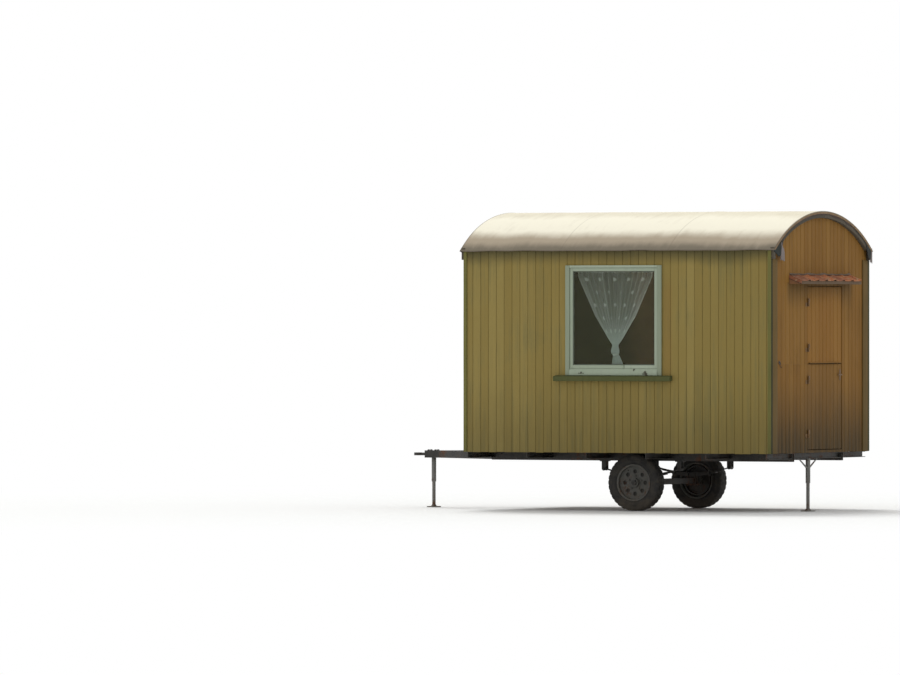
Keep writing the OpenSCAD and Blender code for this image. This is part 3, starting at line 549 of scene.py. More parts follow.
# Painted shade: a darker copy of the white paint for the window frame's side members
shadedStilePaint = paintedTimber("shaded_stile_paint", {
    **whiteLook, "coat": (0.25, 0.288, 0.206), "pale": (0.3, 0.345, 0.256), "deep": (0.19, 0.225, 0.156),
    "grain": "z", "scars": ()})
plainWood = sawnTimber("plain_wood", {
    "light": (0.3, 0.2, 0.11), "dark": (0.17, 0.1, 0.05), "stain": (0.09, 0.065, 0.045), "rough": 0.75,
    "grain": "x"})
bowWood = sawnTimber("bow_wood", {
    "light": (0.28, 0.19, 0.11), "dark": (0.16, 0.1, 0.05), "stain": (0.08, 0.06, 0.04), "rough": 0.75,
    "grain": "y"})
liningWood = sawnTimber("lining_wood", {
    "light": (0.13, 0.088, 0.052), "dark": (0.075, 0.05, 0.031), "stain": (0.05, 0.036, 0.024),
    "rough": 0.7, "grain": "x"})
steelLook = {
    "coat": (0.022, 0.021, 0.019), "faded": (0.045, 0.042, 0.038), "rust": (0.16, 0.062, 0.022),
    "rustDeep": (0.055, 0.024, 0.014), "mud": (0.12, 0.095, 0.065), "rusted": 0.46, "dusty": 0.7,
    "rough": 0.55, "metal": 0.0, "mudLine": 0.5}
chassisSteel = oldSteel("chassis_steel", steelLook)
propSteel = oldSteel("prop_steel", {
    **steelLook, "coat": (0.15, 0.15, 0.14), "faded": (0.21, 0.2, 0.185), "rusted": 0.47, "metal": 0.6,
    "mudLine": 0.25})
# Painted shade: the wheel paint is darkened, as the wheels stand in shade under the hut
shadeDarkenedWheelPaint = oldSteel("wheel_paint", {
    **steelLook, "coat": (0.06, 0.06, 0.052), "faded": (0.095, 0.09, 0.078), "rough": 0.5,
    "mudLine": 0.45})
hingePaint = oldSteel("hinge_paint", {
    **steelLook, "coat": (0.125, 0.066, 0.022), "faded": (0.16, 0.084, 0.027), "rusted": 0.42,
    "mudLine": 0.1, "dusty": 0.1})
latchSteel = oldSteel("latch_steel", {
    **steelLook, "coat": (0.04, 0.038, 0.034), "faded": (0.07, 0.065, 0.06), "rusted": 0.48, "metal": 0.5,
    "mudLine": 0.1, "dusty": 0.3})
brass = oldSteel("rod_brass", {
    **steelLook, "coat": (0.42, 0.3, 0.12), "faded": (0.3, 0.21, 0.09), "rusted": 0.3, "metal": 0.9,
    "rough": 0.35, "mudLine": 0.1, "dusty": 0.2})
print("finishes")


# The roof's arch: a broad crown and a tighter shoulder on each side, with the depths of the
# roof boards' faces under it

arch = {
    "shoulderRun": 0.45,
    "shoulderDrop": 0.022,
    "boards": 0.0053,
    "under": 0.0256,
}
feltLow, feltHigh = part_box("roof_felt")
wallLow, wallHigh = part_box("wall_near")
eaveZ = feltLow.z
halfSpan = feltHigh.y
halfWidth = -wallLow.y
shoulderRun = arch["shoulderRun"]
crownRise = feltHigh.z - eaveZ - arch["shoulderDrop"]
crownRadius = (halfSpan ** 2 + crownRise ** 2) / (2 * crownRise)
crownZ = feltHigh.z - crownRadius
joinTurn = math.asin((halfSpan - shoulderRun) / crownRadius)
joinRise = crownZ + crownRadius * math.cos(joinTurn) - eaveZ
shoulderRadius = (shoulderRun ** 2 + joinRise ** 2) / (
    2 * (joinRise * math.cos(joinTurn) - shoulderRun * math.sin(joinTurn)))
shoulderY = halfSpan - shoulderRun - shoulderRadius * math.sin(joinTurn)
shoulderZ = eaveZ + joinRise - shoulderRadius * math.cos(joinTurn)


# The arch's point at a share of the way from the crown, 1 at the far eave and -1 at the near one
def archPoint(share, inset):
    edge = math.acos((eaveZ - shoulderZ) / (shoulderRadius - inset))
    crown = crownRadius * joinTurn
    way = abs(share) * (crown + shoulderRadius * (edge - joinTurn))
    if way < crown:
        turn, radius, y, z = way / crownRadius, crownRadius, 0, crownZ
    else:
        turn, radius, y, z = joinTurn + (way - crown) / shoulderRadius, shoulderRadius, shoulderY, shoulderZ
    y += (radius - inset) * math.sin(turn)
    return math.copysign(y, share), z + (radius - inset) * math.cos(turn)


# A wall's upper edge: under the roof boards, and at the eaves outside them
def wallTop(y):
    radius = crownRadius - arch["under"]
    if abs(y) < radius * math.sin(joinTurn):
        height = crownZ + math.sqrt(radius ** 2 - y ** 2)
    else:
        radius = shoulderRadius - arch["under"]
        height = shoulderZ + math.sqrt(max(radius ** 2 - (abs(y) - shoulderY) ** 2, 0))
    return max(height, eaveZ) - 0.001


# Walls: an outer skin of matched boards, a core and an inner lining

wallLook = {
    "pitch": 0.0903,
    "sideJoint": -1.1126,
    "endJoint": -0.919,
    "chamfer": 0.0062,
    "chamferDepth": 0.0048,
    "slit": 0.0006,
    "skin": 0.02,
    "lining": 0.018,
    "liningPitch": 0.118,
    "wave": 0.0011,
    "least": 0.12,
    "ragged": 0.0025,
    "bow": (-0.0006, 0.0009),
    "gridTop": 3.1,
    "coreFoot": 0.004,
    "liningSlit": 0.0015,
    "columns": 40,
    "doorSideCut": 1.509,
}
windowLow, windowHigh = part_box("window_frame_near")
doorwayNear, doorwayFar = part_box("door_wall_near")[1].y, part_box("door_wall_far")[0].y
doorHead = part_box("door_wall_gable")[0].z
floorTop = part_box("floor_boards")[1].z
thickness = wallHigh.y - wallLow.y


# A plane of the hut's outside: a point is u along it, v up and w out of it
def wallPlane(axis, out):
    if axis == "side":
        return lambda u, v, w: (u, out * (halfWidth + w), v)
    face = wallHigh.x if out > 0 else wallLow.x
    return lambda u, v, w: (face + out * w, u, v)


# The same plane at a depth, cut off at the top
def behind(plane, top, depth):
    return lambda u, v: plane(u, min(v, top(u)), -depth)


# Keeps the cells that are clear of the holes, each (u0, v0, u1, v1)
def clearOf(holes):
    return lambda u, v: not any(h[0] < u < h[2] and h[1] < v < h[3] for h in holes)


# The boards' edges, from a known joint on; no end board is less than the least share of a board
def jointsBetween(start, end, joint):
    pitch, least = wallLook["pitch"], wallLook["least"]
    at = joint + max(math.ceil((start - joint) / pitch + least), 0) * pitch
    found = [start]
    while at < end - least * pitch:
        found.append(at)
        at += pitch
    return found + [end]


# Upright boards with chamfered edges; a cut is (u0, u1, v)
def uprightBoards(shape, plane, span, joint, bottom, top, holes=(), cuts=(), ragged=wallLook["ragged"]):
    look = wallLook
    slit, chamfer = look["slit"], look["chamfer"]
    edges = jointsBetween(*span, joint)
    for a, b in zip(edges, edges[1:]):
        start, end, middle = a + slit, b - slit, (a + b) / 2
        us = {start, start + chamfer, end - chamfer, end, middle}
        us |= {u for h in holes for u in (h[0], h[2]) if start < u < end}
        breaks = [v for u0, u1, v in cuts if u0 < middle < u1]
        foot = bottom + shape.chance.uniform(-ragged, ragged)
        bow = shape.chance.uniform(*look["bow"])
        ends = [foot, *breaks, skyHigh]

        def front(u, v, start=start, end=end, bow=bow):
            deep = look["chamferDepth"] * (1 - min((u - start) / chamfer, (end - u) / chamfer, 1))
            return plane(u, min(v, top(u)), bow - deep + wobble(u * 2, v * 1.3, look["wave"], span[0]))

        def seam(u, v, a=a, b=b):
            return 0.45 if min(u - a, b - u) < slit * 1.5 else 0.0

        for low, high in zip(ends, ends[1:]):
            crest = min(min(top(a), top(b)) - 0.01, high)
            vs = {low + (slit if low in breaks else 0), high - (slit if high in breaks else 0)}
            vs |= {v for h in holes for v in (h[1], h[3]) if low < v < crest and h[0] < b and h[2] > a}
            vs |= {v for v in lines(bottom, look["gridTop"], 8) if low + 0.03 < v < crest - 0.03}
            shape.sheet(sorted(us), sorted(vs), front, behind(plane, top, look["skin"]), clearOf(holes), seam)


def levelBoards(shape, plane, span, bottom, top, depths, holes):
    look = wallLook
    pitch = look["liningPitch"]
    for i in range(math.ceil((top(0) - bottom) / pitch)):
        low = bottom + i * pitch
        high = low + pitch - look["liningSlit"]
        reach = [u for u in lines(*span, look["columns"]) if top(u) > low + 0.01]
        if len(reach) < 2:
            continue

        def crest(u, low=low):
            return max(top(u), low + 0.001)

        if min(top(reach[0]), top(reach[-1])) > high:
            reach = [reach[0], reach[-1]]
        us = sorted({*reach, *(u for h in holes for u in (h[0], h[2]))})
        vs = sorted({low, high, *(v for h in holes for v in (h[1], h[3]) if low < v < high)})
        shape.sheet(us, vs, *(behind(plane, crest, depth) for depth in depths), clearOf(holes))


def wallLayers(name, seeds, plane, spans, joint, topAt, holes, paint, slot, nodes, cuts=(), columns=1):
    skin, inner = wallLook["skin"], thickness - wallLook["lining"]
    boards = Shape(seeds[0])
    uprightBoards(boards, plane, spans[0], joint, wallLow.z, topAt(0), holes, cuts)
    boards.piece(name + "_boards", paint, slot, replaces=nodes)
    core = Shape()
    low = wallLow.z + wallLook["coreFoot"]
    us = sorted({*lines(*spans[1], columns), *(u for h in holes for u in (h[0], h[2]))})
    vs = sorted({low, skyHigh, *(v for h in holes for v in (h[1], h[3]) if v > low)})
    core.sheet(us, vs, *(behind(plane, topAt(skin), depth) for depth in (skin + seat, inner - seat)),
               clearOf(holes), tone=0.5)
    core.piece(name + "_studs", plainWood, "plain_timber")
    lining = Shape(seeds[1])
    levelBoards(lining, plane, spans[1], floorTop + 0.001, topAt(inner), (inner, thickness), holes)
    lining.piece(name + "_lining", liningWood, "plain_timber")


def sideWall(side, name):
    span = (wallLow.x + wallLook["skin"], wallHigh.x - wallLook["skin"])
    hole = (windowLow.x, windowLow.z, windowHigh.x, windowHigh.z)
    wallLayers(name, (11 + side, 5), wallPlane("side", side), (span, span), wallLook["sideJoint"],
               lambda depth: lambda u: wallTop(halfWidth - depth), [hole], yellowPaint, "yellow_boards",
               [name])


def endWall(end, name, nodes, holes=(), cuts=()):
    width, inner = halfWidth - 0.0005, halfWidth - thickness
    spans = ((-width, width), (-inner, inner))
    wallLayers(name, (21 + end, 6), wallPlane("end", end), spans, wallLook["endJoint"], lambda depth: wallTop,
               holes, orangePaint, "orange_boards", nodes, cuts, wallLook["columns"])


sideWall(-1, "wall_near")
sideWall(1, "wall_far")
endWall(-1, "wall_drawbar_end", ["wall_drawbar_end"])
endWall(1, "door_end", ["door_wall_near", "door_wall_far", "door_wall_gable"],
        [(doorwayNear, wallLow.z - 0.1, doorwayFar, doorHead)],
        [(-1.0, doorwayNear, wallLook["doorSideCut"])])
print("walls")


# The roof: felt with its laps, the boards under it, the edge boards and what is folded over.
# A patch of felt has its corners (y, z), its swell and its thickness. The edge joints are shares
# of the way from the crown to the eaves.

roofLook = {
    "firstLap": -1.316,
    "sheetWidth": 1.22,
    "lapWidth": 0.06,
    "lapRise": 0.0028,
    "lapEdges": (0.0007, 0.012),
    "rims": (0.003, 0.01),
    "columns": 84,
    "rows": 94,
    "pucker": 0.006,
    "droop": 0.014,
    "boards": 26,
    "boardSlit": 0.0007,
    "edgeDepth": 0.042,
    "edgeTail": 0.09,
    "edgeJoints": (-0.985, -0.5, 0.02, 0.47, 0.985),
    "edgeSlit": 0.0008,
    "fold": 0.03,
    "foldFront": 0.004,
    "foldBack": 0.0006,
    "foldRipple": 0.0016,
    "bunches": (
        (((-1.11, 2.61), (-1.055, 2.606), (-0.965, 2.775), (-1.215, 2.672)), 0.007, 0.004),
        (((1.115, 2.6), (1.17, 2.59), (1.2, 2.7), (1.06, 2.73)), 0.006, 0.004)),
    "looseEnds": (
        (((-1.048, 2.578), (-0.958, 2.556), (-0.962, 2.65), (-1.035, 2.752)), 0.01, 0.007),
        (((1.16, 2.56), (1.212, 2.552), (1.216, 2.7), (1.15, 2.7)), 0.005, 0.003)),
}
vergeLow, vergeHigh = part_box("verge_boards")


# Felt, with its colours from the ridge down to the eave, where shade is painted; the painted shade is weaker
# on the far half
def feltFinish(name, look):
    finish = Finish(name, gloss=0.2)
    cloud = finish.spots(0.5, 4, 0.6)
    drips = finish.spots(0.07, 5, 0.65, (1, 0.14, 0.14), 2.0)
    grit = finish.spots(0.006, 6, 0.7)
    farShadeCut = 1 - finish.fade(finish.axis(1), -0.2, 0.6) * look["farShadeCut"]
    level = finish.axis(2) + (cloud - 0.5) * look["uneven"] + (drips - 0.5) * look["drips"]
    a, b, c, d = look["levels"]
    # Painted shade: the shoulder and eave layers darken the felt towards the eaves. The ridge layer makes the
    # very top a little darker.
    colour = finish.coats(
        look["crown"], (look["ridge"], finish.fade(level, 2.99, 3.06)),
        (look["shoulder"], finish.fade(level, a, b) * farShadeCut),
        (look["eave"], finish.fade(level, c, d) * farShadeCut),
        (look["stain"], finish.fade(drips * 0.5 + cloud * 0.5, 0.5, 0.72) * look["stained"]),
        # A painted shadow line at the eaves, and darker ends and laps, where the marks are
        (look["dirtAndShade"], finish.mark("mark") * 0.7))
    return finish.paint(colour, 0.85 - (grit - 0.5) * 0.2, bumps=grit * 0.5 + cloud * 0.5, depth=0.0015)


paleFelt = feltFinish("pale_felt", {
    "crown": (0.83, 0.785, 0.64), "ridge": (0.7, 0.65, 0.51), "shoulder": (0.37, 0.305, 0.22),
    "eave": (0.165, 0.14, 0.1), "stain": (0.4, 0.33, 0.26), "dirtAndShade": (0.1, 0.075, 0.055),
    "levels": (2.89, 2.785, 2.775, 2.69), "uneven": 0.09, "drips": 0.04, "stained": 0.22, "farShadeCut": 0.75})
darkFelt = feltFinish("dark_felt", {
    "crown": (0.08, 0.058, 0.05), "ridge": (0.08, 0.058, 0.05), "shoulder": (0.05, 0.045, 0.038),
    "eave": (0.03, 0.035, 0.032), "stain": (0.14, 0.1, 0.11), "dirtAndShade": (0.03, 0.03, 0.025),
    "levels": (3.0, 2.85, 2.75, 2.68), "uneven": 0.2, "drips": 0.05, "stained": 0.5, "farShadeCut": 0.0})
greyFelt = feltFinish("grey_felt", {
    "crown": (0.21, 0.18, 0.175), "ridge": (0.21, 0.18, 0.175), "shoulder": (0.21, 0.18, 0.175),
    "eave": (0.2, 0.17, 0.16), "stain": (0.11, 0.1, 0.1), "dirtAndShade": (0.06, 0.055, 0.05),
    "levels": (3.0, 2.9, 2.7, 2.6), "uneven": 0.1, "drips": 0.05, "stained": 0.6, "farShadeCut": 0.0})


def archSheet(inset):
    return lambda u, v: (u, *archPoint(v, inset))


def feltTop(u, v):
    look = roofLook
    past = (u - look["firstLap"]) % look["sheetWidth"]
    rise = look["lapRise"] * min(max(1 - (past - look["lapWidth"]) / 0.02, 0), 1)
    edge = max(abs(v) - 0.8, 0) * 5
    rise += 0.001 + wobble(u * 5, v * 2.2, 0.0022) + edge * wobble(u * 15, v, look["pucker"], 4)
    drop = edge ** 3 * (0.004 + wobble(u * 3.1, math.copysign(3, v), look["droop"])) / 1.4
    return (u, *archPoint(v * (1 + max(drop, -0.003)), -max(rise, 0)))


# A painted shadow along the felt's eave edges; the ends and the laps are marked darker too
def feltSeamsAndEaveShadow(u, v):
    past = (u - roofLook["firstLap"]) % roofLook["sheetWidth"]
    lap = 0.35 if min(past, roofLook["sheetWidth"] - past) < 0.006 else 0.0
    return 1.0 if min(u - feltLow.x, feltHigh.x - u) < 0.004 or abs(v) > 0.989 else lap


def roofFelt():
    look = roofLook
    us = set(lines(feltLow.x, feltHigh.x, look["columns"]))
    us |= {x for rim in look["rims"] for x in (feltLow.x + rim, feltHigh.x - rim)}
    us |= {look["firstLap"] + k * look["sheetWidth"] + way * shift
           for k in (1, 2) for shift in look["lapEdges"] for way in (-1, 1)}
    vs = [-1, -0.992, -0.985, *lines(-0.98, 0.98, look["rows"]), 0.985, 0.992, 1]
    felt = Shape()
    felt.sheet(sorted(us), vs, feltTop, archSheet(arch["boards"] - seat), mark=feltSeamsAndEaveShadow, tone=0.5)
    felt.piece("felt_sheets", paleFelt, "roof_felt", replaces=["roof_felt"], smooth=38)

    planks = Shape(32)
    edges, slit = lines(-1, 1, look["boards"]), look["boardSlit"]
    for a, b in zip(edges, edges[1:]):
        planks.sheet([feltLow.x + 0.001, feltHigh.x - 0.001], lines(a + slit, b - slit, 2),
                     archSheet(arch["boards"] + seat), archSheet(arch["under"] - seat))
    planks.piece("roof_planks", bowWood, "plain_timber", replaces=["roof_boards"], smooth=30)


# A patch between four corners, near bottom, far bottom, far top, near top; it swells outwards
def flap(shape, corners, swell, thick, out, **kind):
    a, b, c, d = (Vector(p) for p in corners)
    out = Vector((out, 0, 0))

    def front(u, v):
        bulge = math.sin(math.pi * min(u * 1.05, 1)) * math.sin(math.pi * (0.15 + 0.7 * v))
        rise = swell * (bulge + 0.4 * math.sin(9 * u + v)) + thick + wobble(u * 3, v * 3, swell * 0.4, a.x)
        v += (1 - v) * wobble(u * 8, 1, 0.12, a.x + b.y)
        u += wobble(v * 5, 3, 0.1, a.y)
        return (a * (1 - u) + b * u) * (1 - v) + (d * (1 - u) + c * u) * v + out * rise

    def back(u, v):
        return front(u, v) - out * thick

    shape.sheet(lines(0, 1, 10), lines(0, 1, 10), front, back, **kind)


def roofEdge():
    look = roofLook
    edge = Shape(34)
    joints, slit = look["edgeJoints"], look["edgeSlit"]

    def edgeAt(x):
        def point(u, v):
            y, z = archPoint(u, arch["under"] + seat + look["edgeDepth"] * v)
            return (x, min(max(y, -halfWidth), halfWidth), z)
        return point

    for near, far in ((wallHigh.x + seat, vergeHigh.x), (wallLow.x - seat, vergeLow.x)):
        for a, b in zip(joints, joints[1:]):
            edge.sheet(lines(a + slit, b - slit, 18), [0, 1], edgeAt(far), edgeAt(near))
        for side in (-1, 1):
            edge.box((near, side * (halfWidth - look["edgeDepth"]), eaveZ - look["edgeTail"]),
                     (far, side * halfWidth, eaveZ + 0.03))
    edge.piece("edge_boards", vergePaint, "verge_paint", replaces=["verge_boards"], bevel=0.0022)

    folds = Shape(35)
    for end, face, patches in ((1, vergeHigh.x, (look["bunches"], look["looseEnds"])),
                               (-1, vergeLow.x, (look["bunches"],))):

        def folded(out, ripple=0.0, face=face, end=end):
            def point(u, v):
                deep = look["fold"] * (1 + wobble(u * 9, 1, 0.5, face)) * v
                y, z = archPoint(u, arch["boards"] - 0.0001 + deep)
                return (face + end * (out + wobble(u * 14, v * 2, ripple, face)), y, z)
            return point

        folds.sheet(lines(-0.995, 0.995, 110), lines(0, 1, 3), folded(look["foldFront"], look["foldRipple"]),
                    folded(look["foldBack"]))
        x = face + end * look["foldBack"]
        for slot, group in enumerate(patches):
            for corners, swell, thick in group:
                flap(folds, [(x, y, z) for y, z in corners], swell, thick, end, slot=slot)
    folds.piece("felt_folds", [darkFelt, greyFelt], "roof_felt", smooth=40)


roofFelt()
roofEdge()
dress("roof_bows", bowWood, 0.002)
print("roof")


# Corner boards and sills, with worn edges

cornerLook = {
    "across": (0.15, 0.1, 0.067, 0.034, 0.028, 0),
    "narrow": 0.024,
    "wear": 0.002,
    "wave": 0.0008,
}


def cornerBoards():
    look = cornerLook
    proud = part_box("corner_boards")[1].x - wallHigh.x
    us = [halfWidth - inset for inset in look["across"]]
    boards = Shape(41)
    heights = [wallLow.z + 0.001, *lines(0.7, 2.5, 14)]
    for end, face in ((1, wallHigh.x), (-1, wallLow.x)):
        for side in (-1, 1):
            flat, edgewise = wallPlane("end", end), wallPlane("side", side)

            def front(u, v):
                worn = wobble(v * 4, end * side, look["wear"]) if u < halfWidth - 0.1 else 0
                return flat(side * u - worn, v, proud + wobble(u * 9, v * 2, look["wave"], end))

            def sideFront(u, v):
                return edgewise(face + end * u, v, proud + wobble(u * 9, v * 2, look["wave"], end))

            boards.sheet(us, heights + [eaveZ - roofLook["edgeTail"] - 0.001], front,
                         lambda u, v: flat(side * u, v, lift),
                         mark=lambda u, v: 1.0 if u >= us[-2] else 0.0, slot=1)
            boards.sheet([-look["narrow"], 0.0, proud - seat], heights + [eaveZ - 0.002], sideFront,
                         lambda u, v: edgewise(face + end * u, v, lift))
    boards.piece("corner_strips", [olivePaint, brownPaint], "olive_paint", replaces=["corner_boards"],
                 bevel=0.0018)


def sills():
    low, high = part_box("window_sills")
    deep = high.y - halfWidth
    outline = [(lift, low.z + 0.008), (lift, high.z), (deep * 0.6, high.z - 0.0055),
               (deep - 0.003, high.z - 0.0105), (deep, high.z - 0.016), (deep, low.z + 0.004),
               (deep - 0.004, low.z), (deep - 0.01, low.z), (deep - 0.012, low.z + 0.007),
               (deep - 0.018, low.z + 0.007), (deep - 0.02, low.z)]
    made = Shape(42)
    for side in (-1, 1):

        # The ends are worn, and the foot stands a little high
        def turn(a, b, c):
            worn = wobble(a * 30, b * 30, 0.006, c) if c < low.x + 0.01 or c > high.x - 0.01 else 0
            return (c + worn, side * (halfWidth + a), b + (0.007 if b < low.z + 0.02 else 0))

        made.prism(outline, low.x, high.x, turn)
    made.piece("sill_boards", sillPaint, "olive_paint", replaces=["window_sills"], bevel=0.0012)


cornerBoards()
sills()
print("corner boards and sills")


# Windows: frame, sash, putty and pane

windowLook = {
    "side": 0.046,
    "head": 0.024,
    "foot": 0.07,
    "rail": 0.034,
    "grow": 0.008,
    "joint": 0.0007,
    "slack": 0.0012,
    "setBack": 0.0007,
    "putty": 0.011,
    "puttyBack": 0.0148,
    "crackAt": 0.628,
    "crack": 0.004,
    "wave": 0.0006,
    "glass": ((0.076, 0.078, 0.032), (0.15, 0.118, 0.05), (0.1, 0.115, 0.035)),
    "dust": (0.16, 0.16, 0.11),
}


def paneFinish(look):
    finish = Finish("pane", gloss=0.5, rough=0.04)
    cloud = finish.spots(0.3, 4, 0.6)
    dust = finish.fade(finish.spots(0.02, 6, 0.7), 0.5, 0.8)
    mottle = finish.spots(0.11, 5, 0.65, shift=4.0)
    # Painted reflection: the pane grows warmer and lighter towards the door end, with green patches
    left, reflectionTint, reflectionGreen = look["glass"]
    across = finish.axis(0) + (cloud - 0.5) * 0.5 + (mottle - 0.5) * 0.3
    colour = finish.coats(left, (reflectionTint, finish.fade(across, 0.58, 0.86)),
                          (reflectionGreen, finish.fade(mottle, 0.52, 0.7) * 0.6), (look["dust"], dust * 0.2))
    return finish.paint(colour, 0.05 + dust * 0.04, alpha=0.19 + dust * 0.03)


def plainFinish(name, colour, other, rough, size, gloss=0.1):
    finish = Finish(name, gloss=gloss)
    cloud = finish.spots(size, 5, 0.65)
    fine = finish.spots(size / 9, 5, 0.65, shift=3.3)
    blend = finish.mix(colour, other, finish.fade(cloud * 0.6 + fine * 0.4, 0.35, 0.68))
    return finish.paint(blend, rough + (fine - 0.5) * 0.15, bumps=fine, depth=0.0006)


paneGlass = paneFinish(windowLook)
# Painted shade: the putty is dark, standing for the shaded reveals around the glass
putty = plainFinish("putty", (0.1, 0.116, 0.088), (0.14, 0.155, 0.118), 0.6, 0.05, 0.2)


# A node's box, and how far its inner and outer faces stand from the hut's middle
def boxAndFaces(name):
    low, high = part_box(name)
    return low, high, *sorted((abs(low.y), abs(high.y)))


def windowFrame(side, suffix, turn):
    look = windowLook
    low, high, deep, out = boxAndFaces("window_frame_" + suffix)
    frameBars = Shape(51 + side)
    for x0, x1 in ((low.x, low.x + look["side"]), (high.x - look["side"], high.x)):
        frameBars.box((x0, deep, low.z), (x1, out, high.z), turn, slot=1)
    start, end = low.x + look["side"] + look["joint"], high.x - look["side"] - look["joint"]
    frameBars.box((start, deep, high.z - look["head"]), (end, out - 0.001, high.z), turn)
    foot = low.z + look["foot"]
    outline = [(deep, low.z), (out + 0.004, low.z), (out + 0.004, low.z + 0.044),
               (out - 0.009, foot - 0.004), (out - 0.012, foot), (deep, foot)]
    frameBars.prism(outline, start, end, lambda a, b, c: turn(c, a, b))
    frameBars.piece("frame_members_" + suffix, [whitePaint, shadedStilePaint], "window_white",
                    replaces=["window_frame_" + suffix], bevel=0.0026)


def windowSash(side, suffix, turn):
    look = windowLook
    low, high, deep, out = boxAndFaces("window_sash_" + suffix)
    rail, slack, lip, gap = look["rail"], look["slack"], look["putty"], look["crack"]
    sash = Shape(61 + side)
    for x0, x1 in ((low.x + slack, low.x + rail), (high.x - rail, high.x - slack)):
        sash.box((x0, deep, low.z + slack), (x1, out, high.z - slack), turn)
    start, end = low.x + rail + look["joint"], high.x - rail - look["joint"]
    crack = start + (end - start) * look["crackAt"]
    for x0, x1, z0, z1 in ((start, crack - gap, low.z + slack, low.z + rail),
                           (crack + gap, end, low.z + slack, low.z + rail),
                           (start, end, high.z - rail, high.z - slack)):
        sash.box((x0, deep, z0), (x1, out - look["setBack"], z1), turn)
    x0, x1, z0, z1 = low.x + rail, high.x - rail, low.z + rail, high.z - rail
    face = out - look["puttyBack"]
    strip = [(face, -0.001), (face, lip), (face + 0.002, lip - 0.002), (out - 0.003, -0.001)]
    for level, at, way, parts in ((True, z0, 1, ((x0, crack - gap), (crack + gap, x1))),
                                  (True, z1, -1, ((x0, x1),)),
                                  (False, x0, 1, ((z0, z1),)), (False, x1, -1, ((z0, z1),))):

        def along(a, b, c, level=level, at=at, way=way):
            return turn(c, a, at + way * b) if level else turn(at + way * b, a, c)

        for a, b in parts:
            sash.prism(strip, a, b, along, slot=1)
    sash.piece("sash_members_" + suffix, [whitePaint, putty], "window_white",
               replaces=["window_sash_" + suffix], bevel=0.0022)


def windowPane(side, suffix, turn):
    low, high, deep, out = boxAndFaces("window_glass_" + suffix)
    grow, thin, wave = windowLook["grow"], windowLook["setBack"], windowLook["wave"]
    pane = Shape()

    def at(depth):
        return lambda u, v: turn(u, depth + wobble(u * 3, v * 3, wave, side), v)

    pane.sheet(lines(low.x - grow, high.x + grow, 8), lines(low.z - grow, high.z + grow, 8),
               at(out - thin), at(deep + thin), tone=0.5)
    pane.piece("pane_" + suffix, paneGlass, "pane", replaces=["window_glass_" + suffix], smooth=30)


for windowSide, windowName in ((-1, "near"), (1, "far")):
    for makeBars in (windowFrame, windowSash, windowPane):
        makeBars(windowSide, windowName, lambda x, y, z: (x, windowSide * y, z))
print("windows")


# Net curtains, gathered on a rod and tied low down. A level is a height with the curtain's half
# width and sideways shift there; a painted fold highlight is a place across it and its strength.

curtainLook = {
    "cloth": (1.2, 0.98),
    "levels": ((2.468, 0.428, -0.03), (2.4, 0.42, -0.03), (2.00, 0.23, -0.026), (1.76, 0.074, -0.024),
               (1.706, 0.032, -0.026), (1.69, 0.031, -0.027), (1.665, 0.04, -0.028), (1.64, 0.045, -0.029),
               (1.62, 0.043, -0.03), (1.604, 0.028, -0.022), (1.588, 0.034, -0.014), (1.525, 0.056, -0.005),
               (1.503, 0.059, -0.005)),
    "folds": 15,
    "foldSteps": 14,
    "rowSteps": 68,
    "foldDepth": 0.0205,
    "foldHighlights": ((0.012, 0.8), (0.05, 0.5), (0.13, 0.5), (0.19, 0.3), (0.325, 0.8), (0.41, 0.35), (0.6, 0.25),
               (0.74, 0.6), (0.8, 0.4), (0.87, 0.6), (0.945, 0.5), (0.985, 0.9)),
    "foldHighlightWidth": 0.016,
    "rows": 0.136,
    "columns": 0.235,
    "firstRow": 0.094,
    "dot": 0.0195,
    "open": (0.45, 0.51, 0.44),
    "thread": (0.78, 0.9, 0.83),
    "rod": (1.104, 2.459),
    "knot": 1.604,
    "tie": ((0.0275, -0.008), (0.0315, -0.004), (0.0315, 0.005), (0.0275, 0.009), (0.024, 0.005),
            (0.024, -0.005)),
}


def netFinish(look):
    finish = Finish("net", gloss=0.1, sheen=0.4, rough=0.9)
    columns, rows, dot = look["columns"], look["rows"], look["dot"]
    down = (finish.mark("down") + (rows / 2 - look["firstRow"])) / rows
    sideways = (finish.mark("across") / columns + down.math("FLOOR") * 0.5) % 1.0 - 0.5
    gap = ((sideways * columns) ** 2.0 + ((down % 1.0 - 0.5) * rows) ** 2.0) ** 0.5
    faint = finish.fade(finish.spots(0.13, 2, 0.5, shift=6.0), 0.32, 0.52)
    dots = finish.fade(gap, dot * 1.35, dot * 0.7) * (0.3 + faint * 0.7)
    fold, tight = finish.mark("fold"), finish.mark("tight")
    thick = dots.math("MAXIMUM", finish.mark("mark") * 0.7)
    # Painted highlights on the folds, and painted light lifting the gathered parts out of their own shade;
    # both also cover more
    colour = finish.mix(look["open"], look["thread"], thick * 0.5 + fold * 0.35 + tight)
    weave = (finish.spots(0.004, 3, 0.6) - 0.5) * 0.14
    cover = 0.42 + thick * 0.38 + fold * 0.34 + tight * 0.5 + weave
    return finish.paint(colour, alpha=cover.math("MINIMUM", 0.97))


net = netFinish(curtainLook)
tieCloth = plainFinish("tie_cloth", (0.74, 0.86, 0.76), (0.56, 0.68, 0.58), 0.9, 0.02)


# The half width and the sideways shift of the curtain at a height
def spanAt(z):
    levels = curtainLook["levels"]
    for (top, *wide), (foot, *less) in zip(levels, levels[1:]):
        if z >= foot:
            return [b + (a - b) * (z - foot) / (top - foot) for a, b in zip(wide, less)]
    return levels[-1][1:]


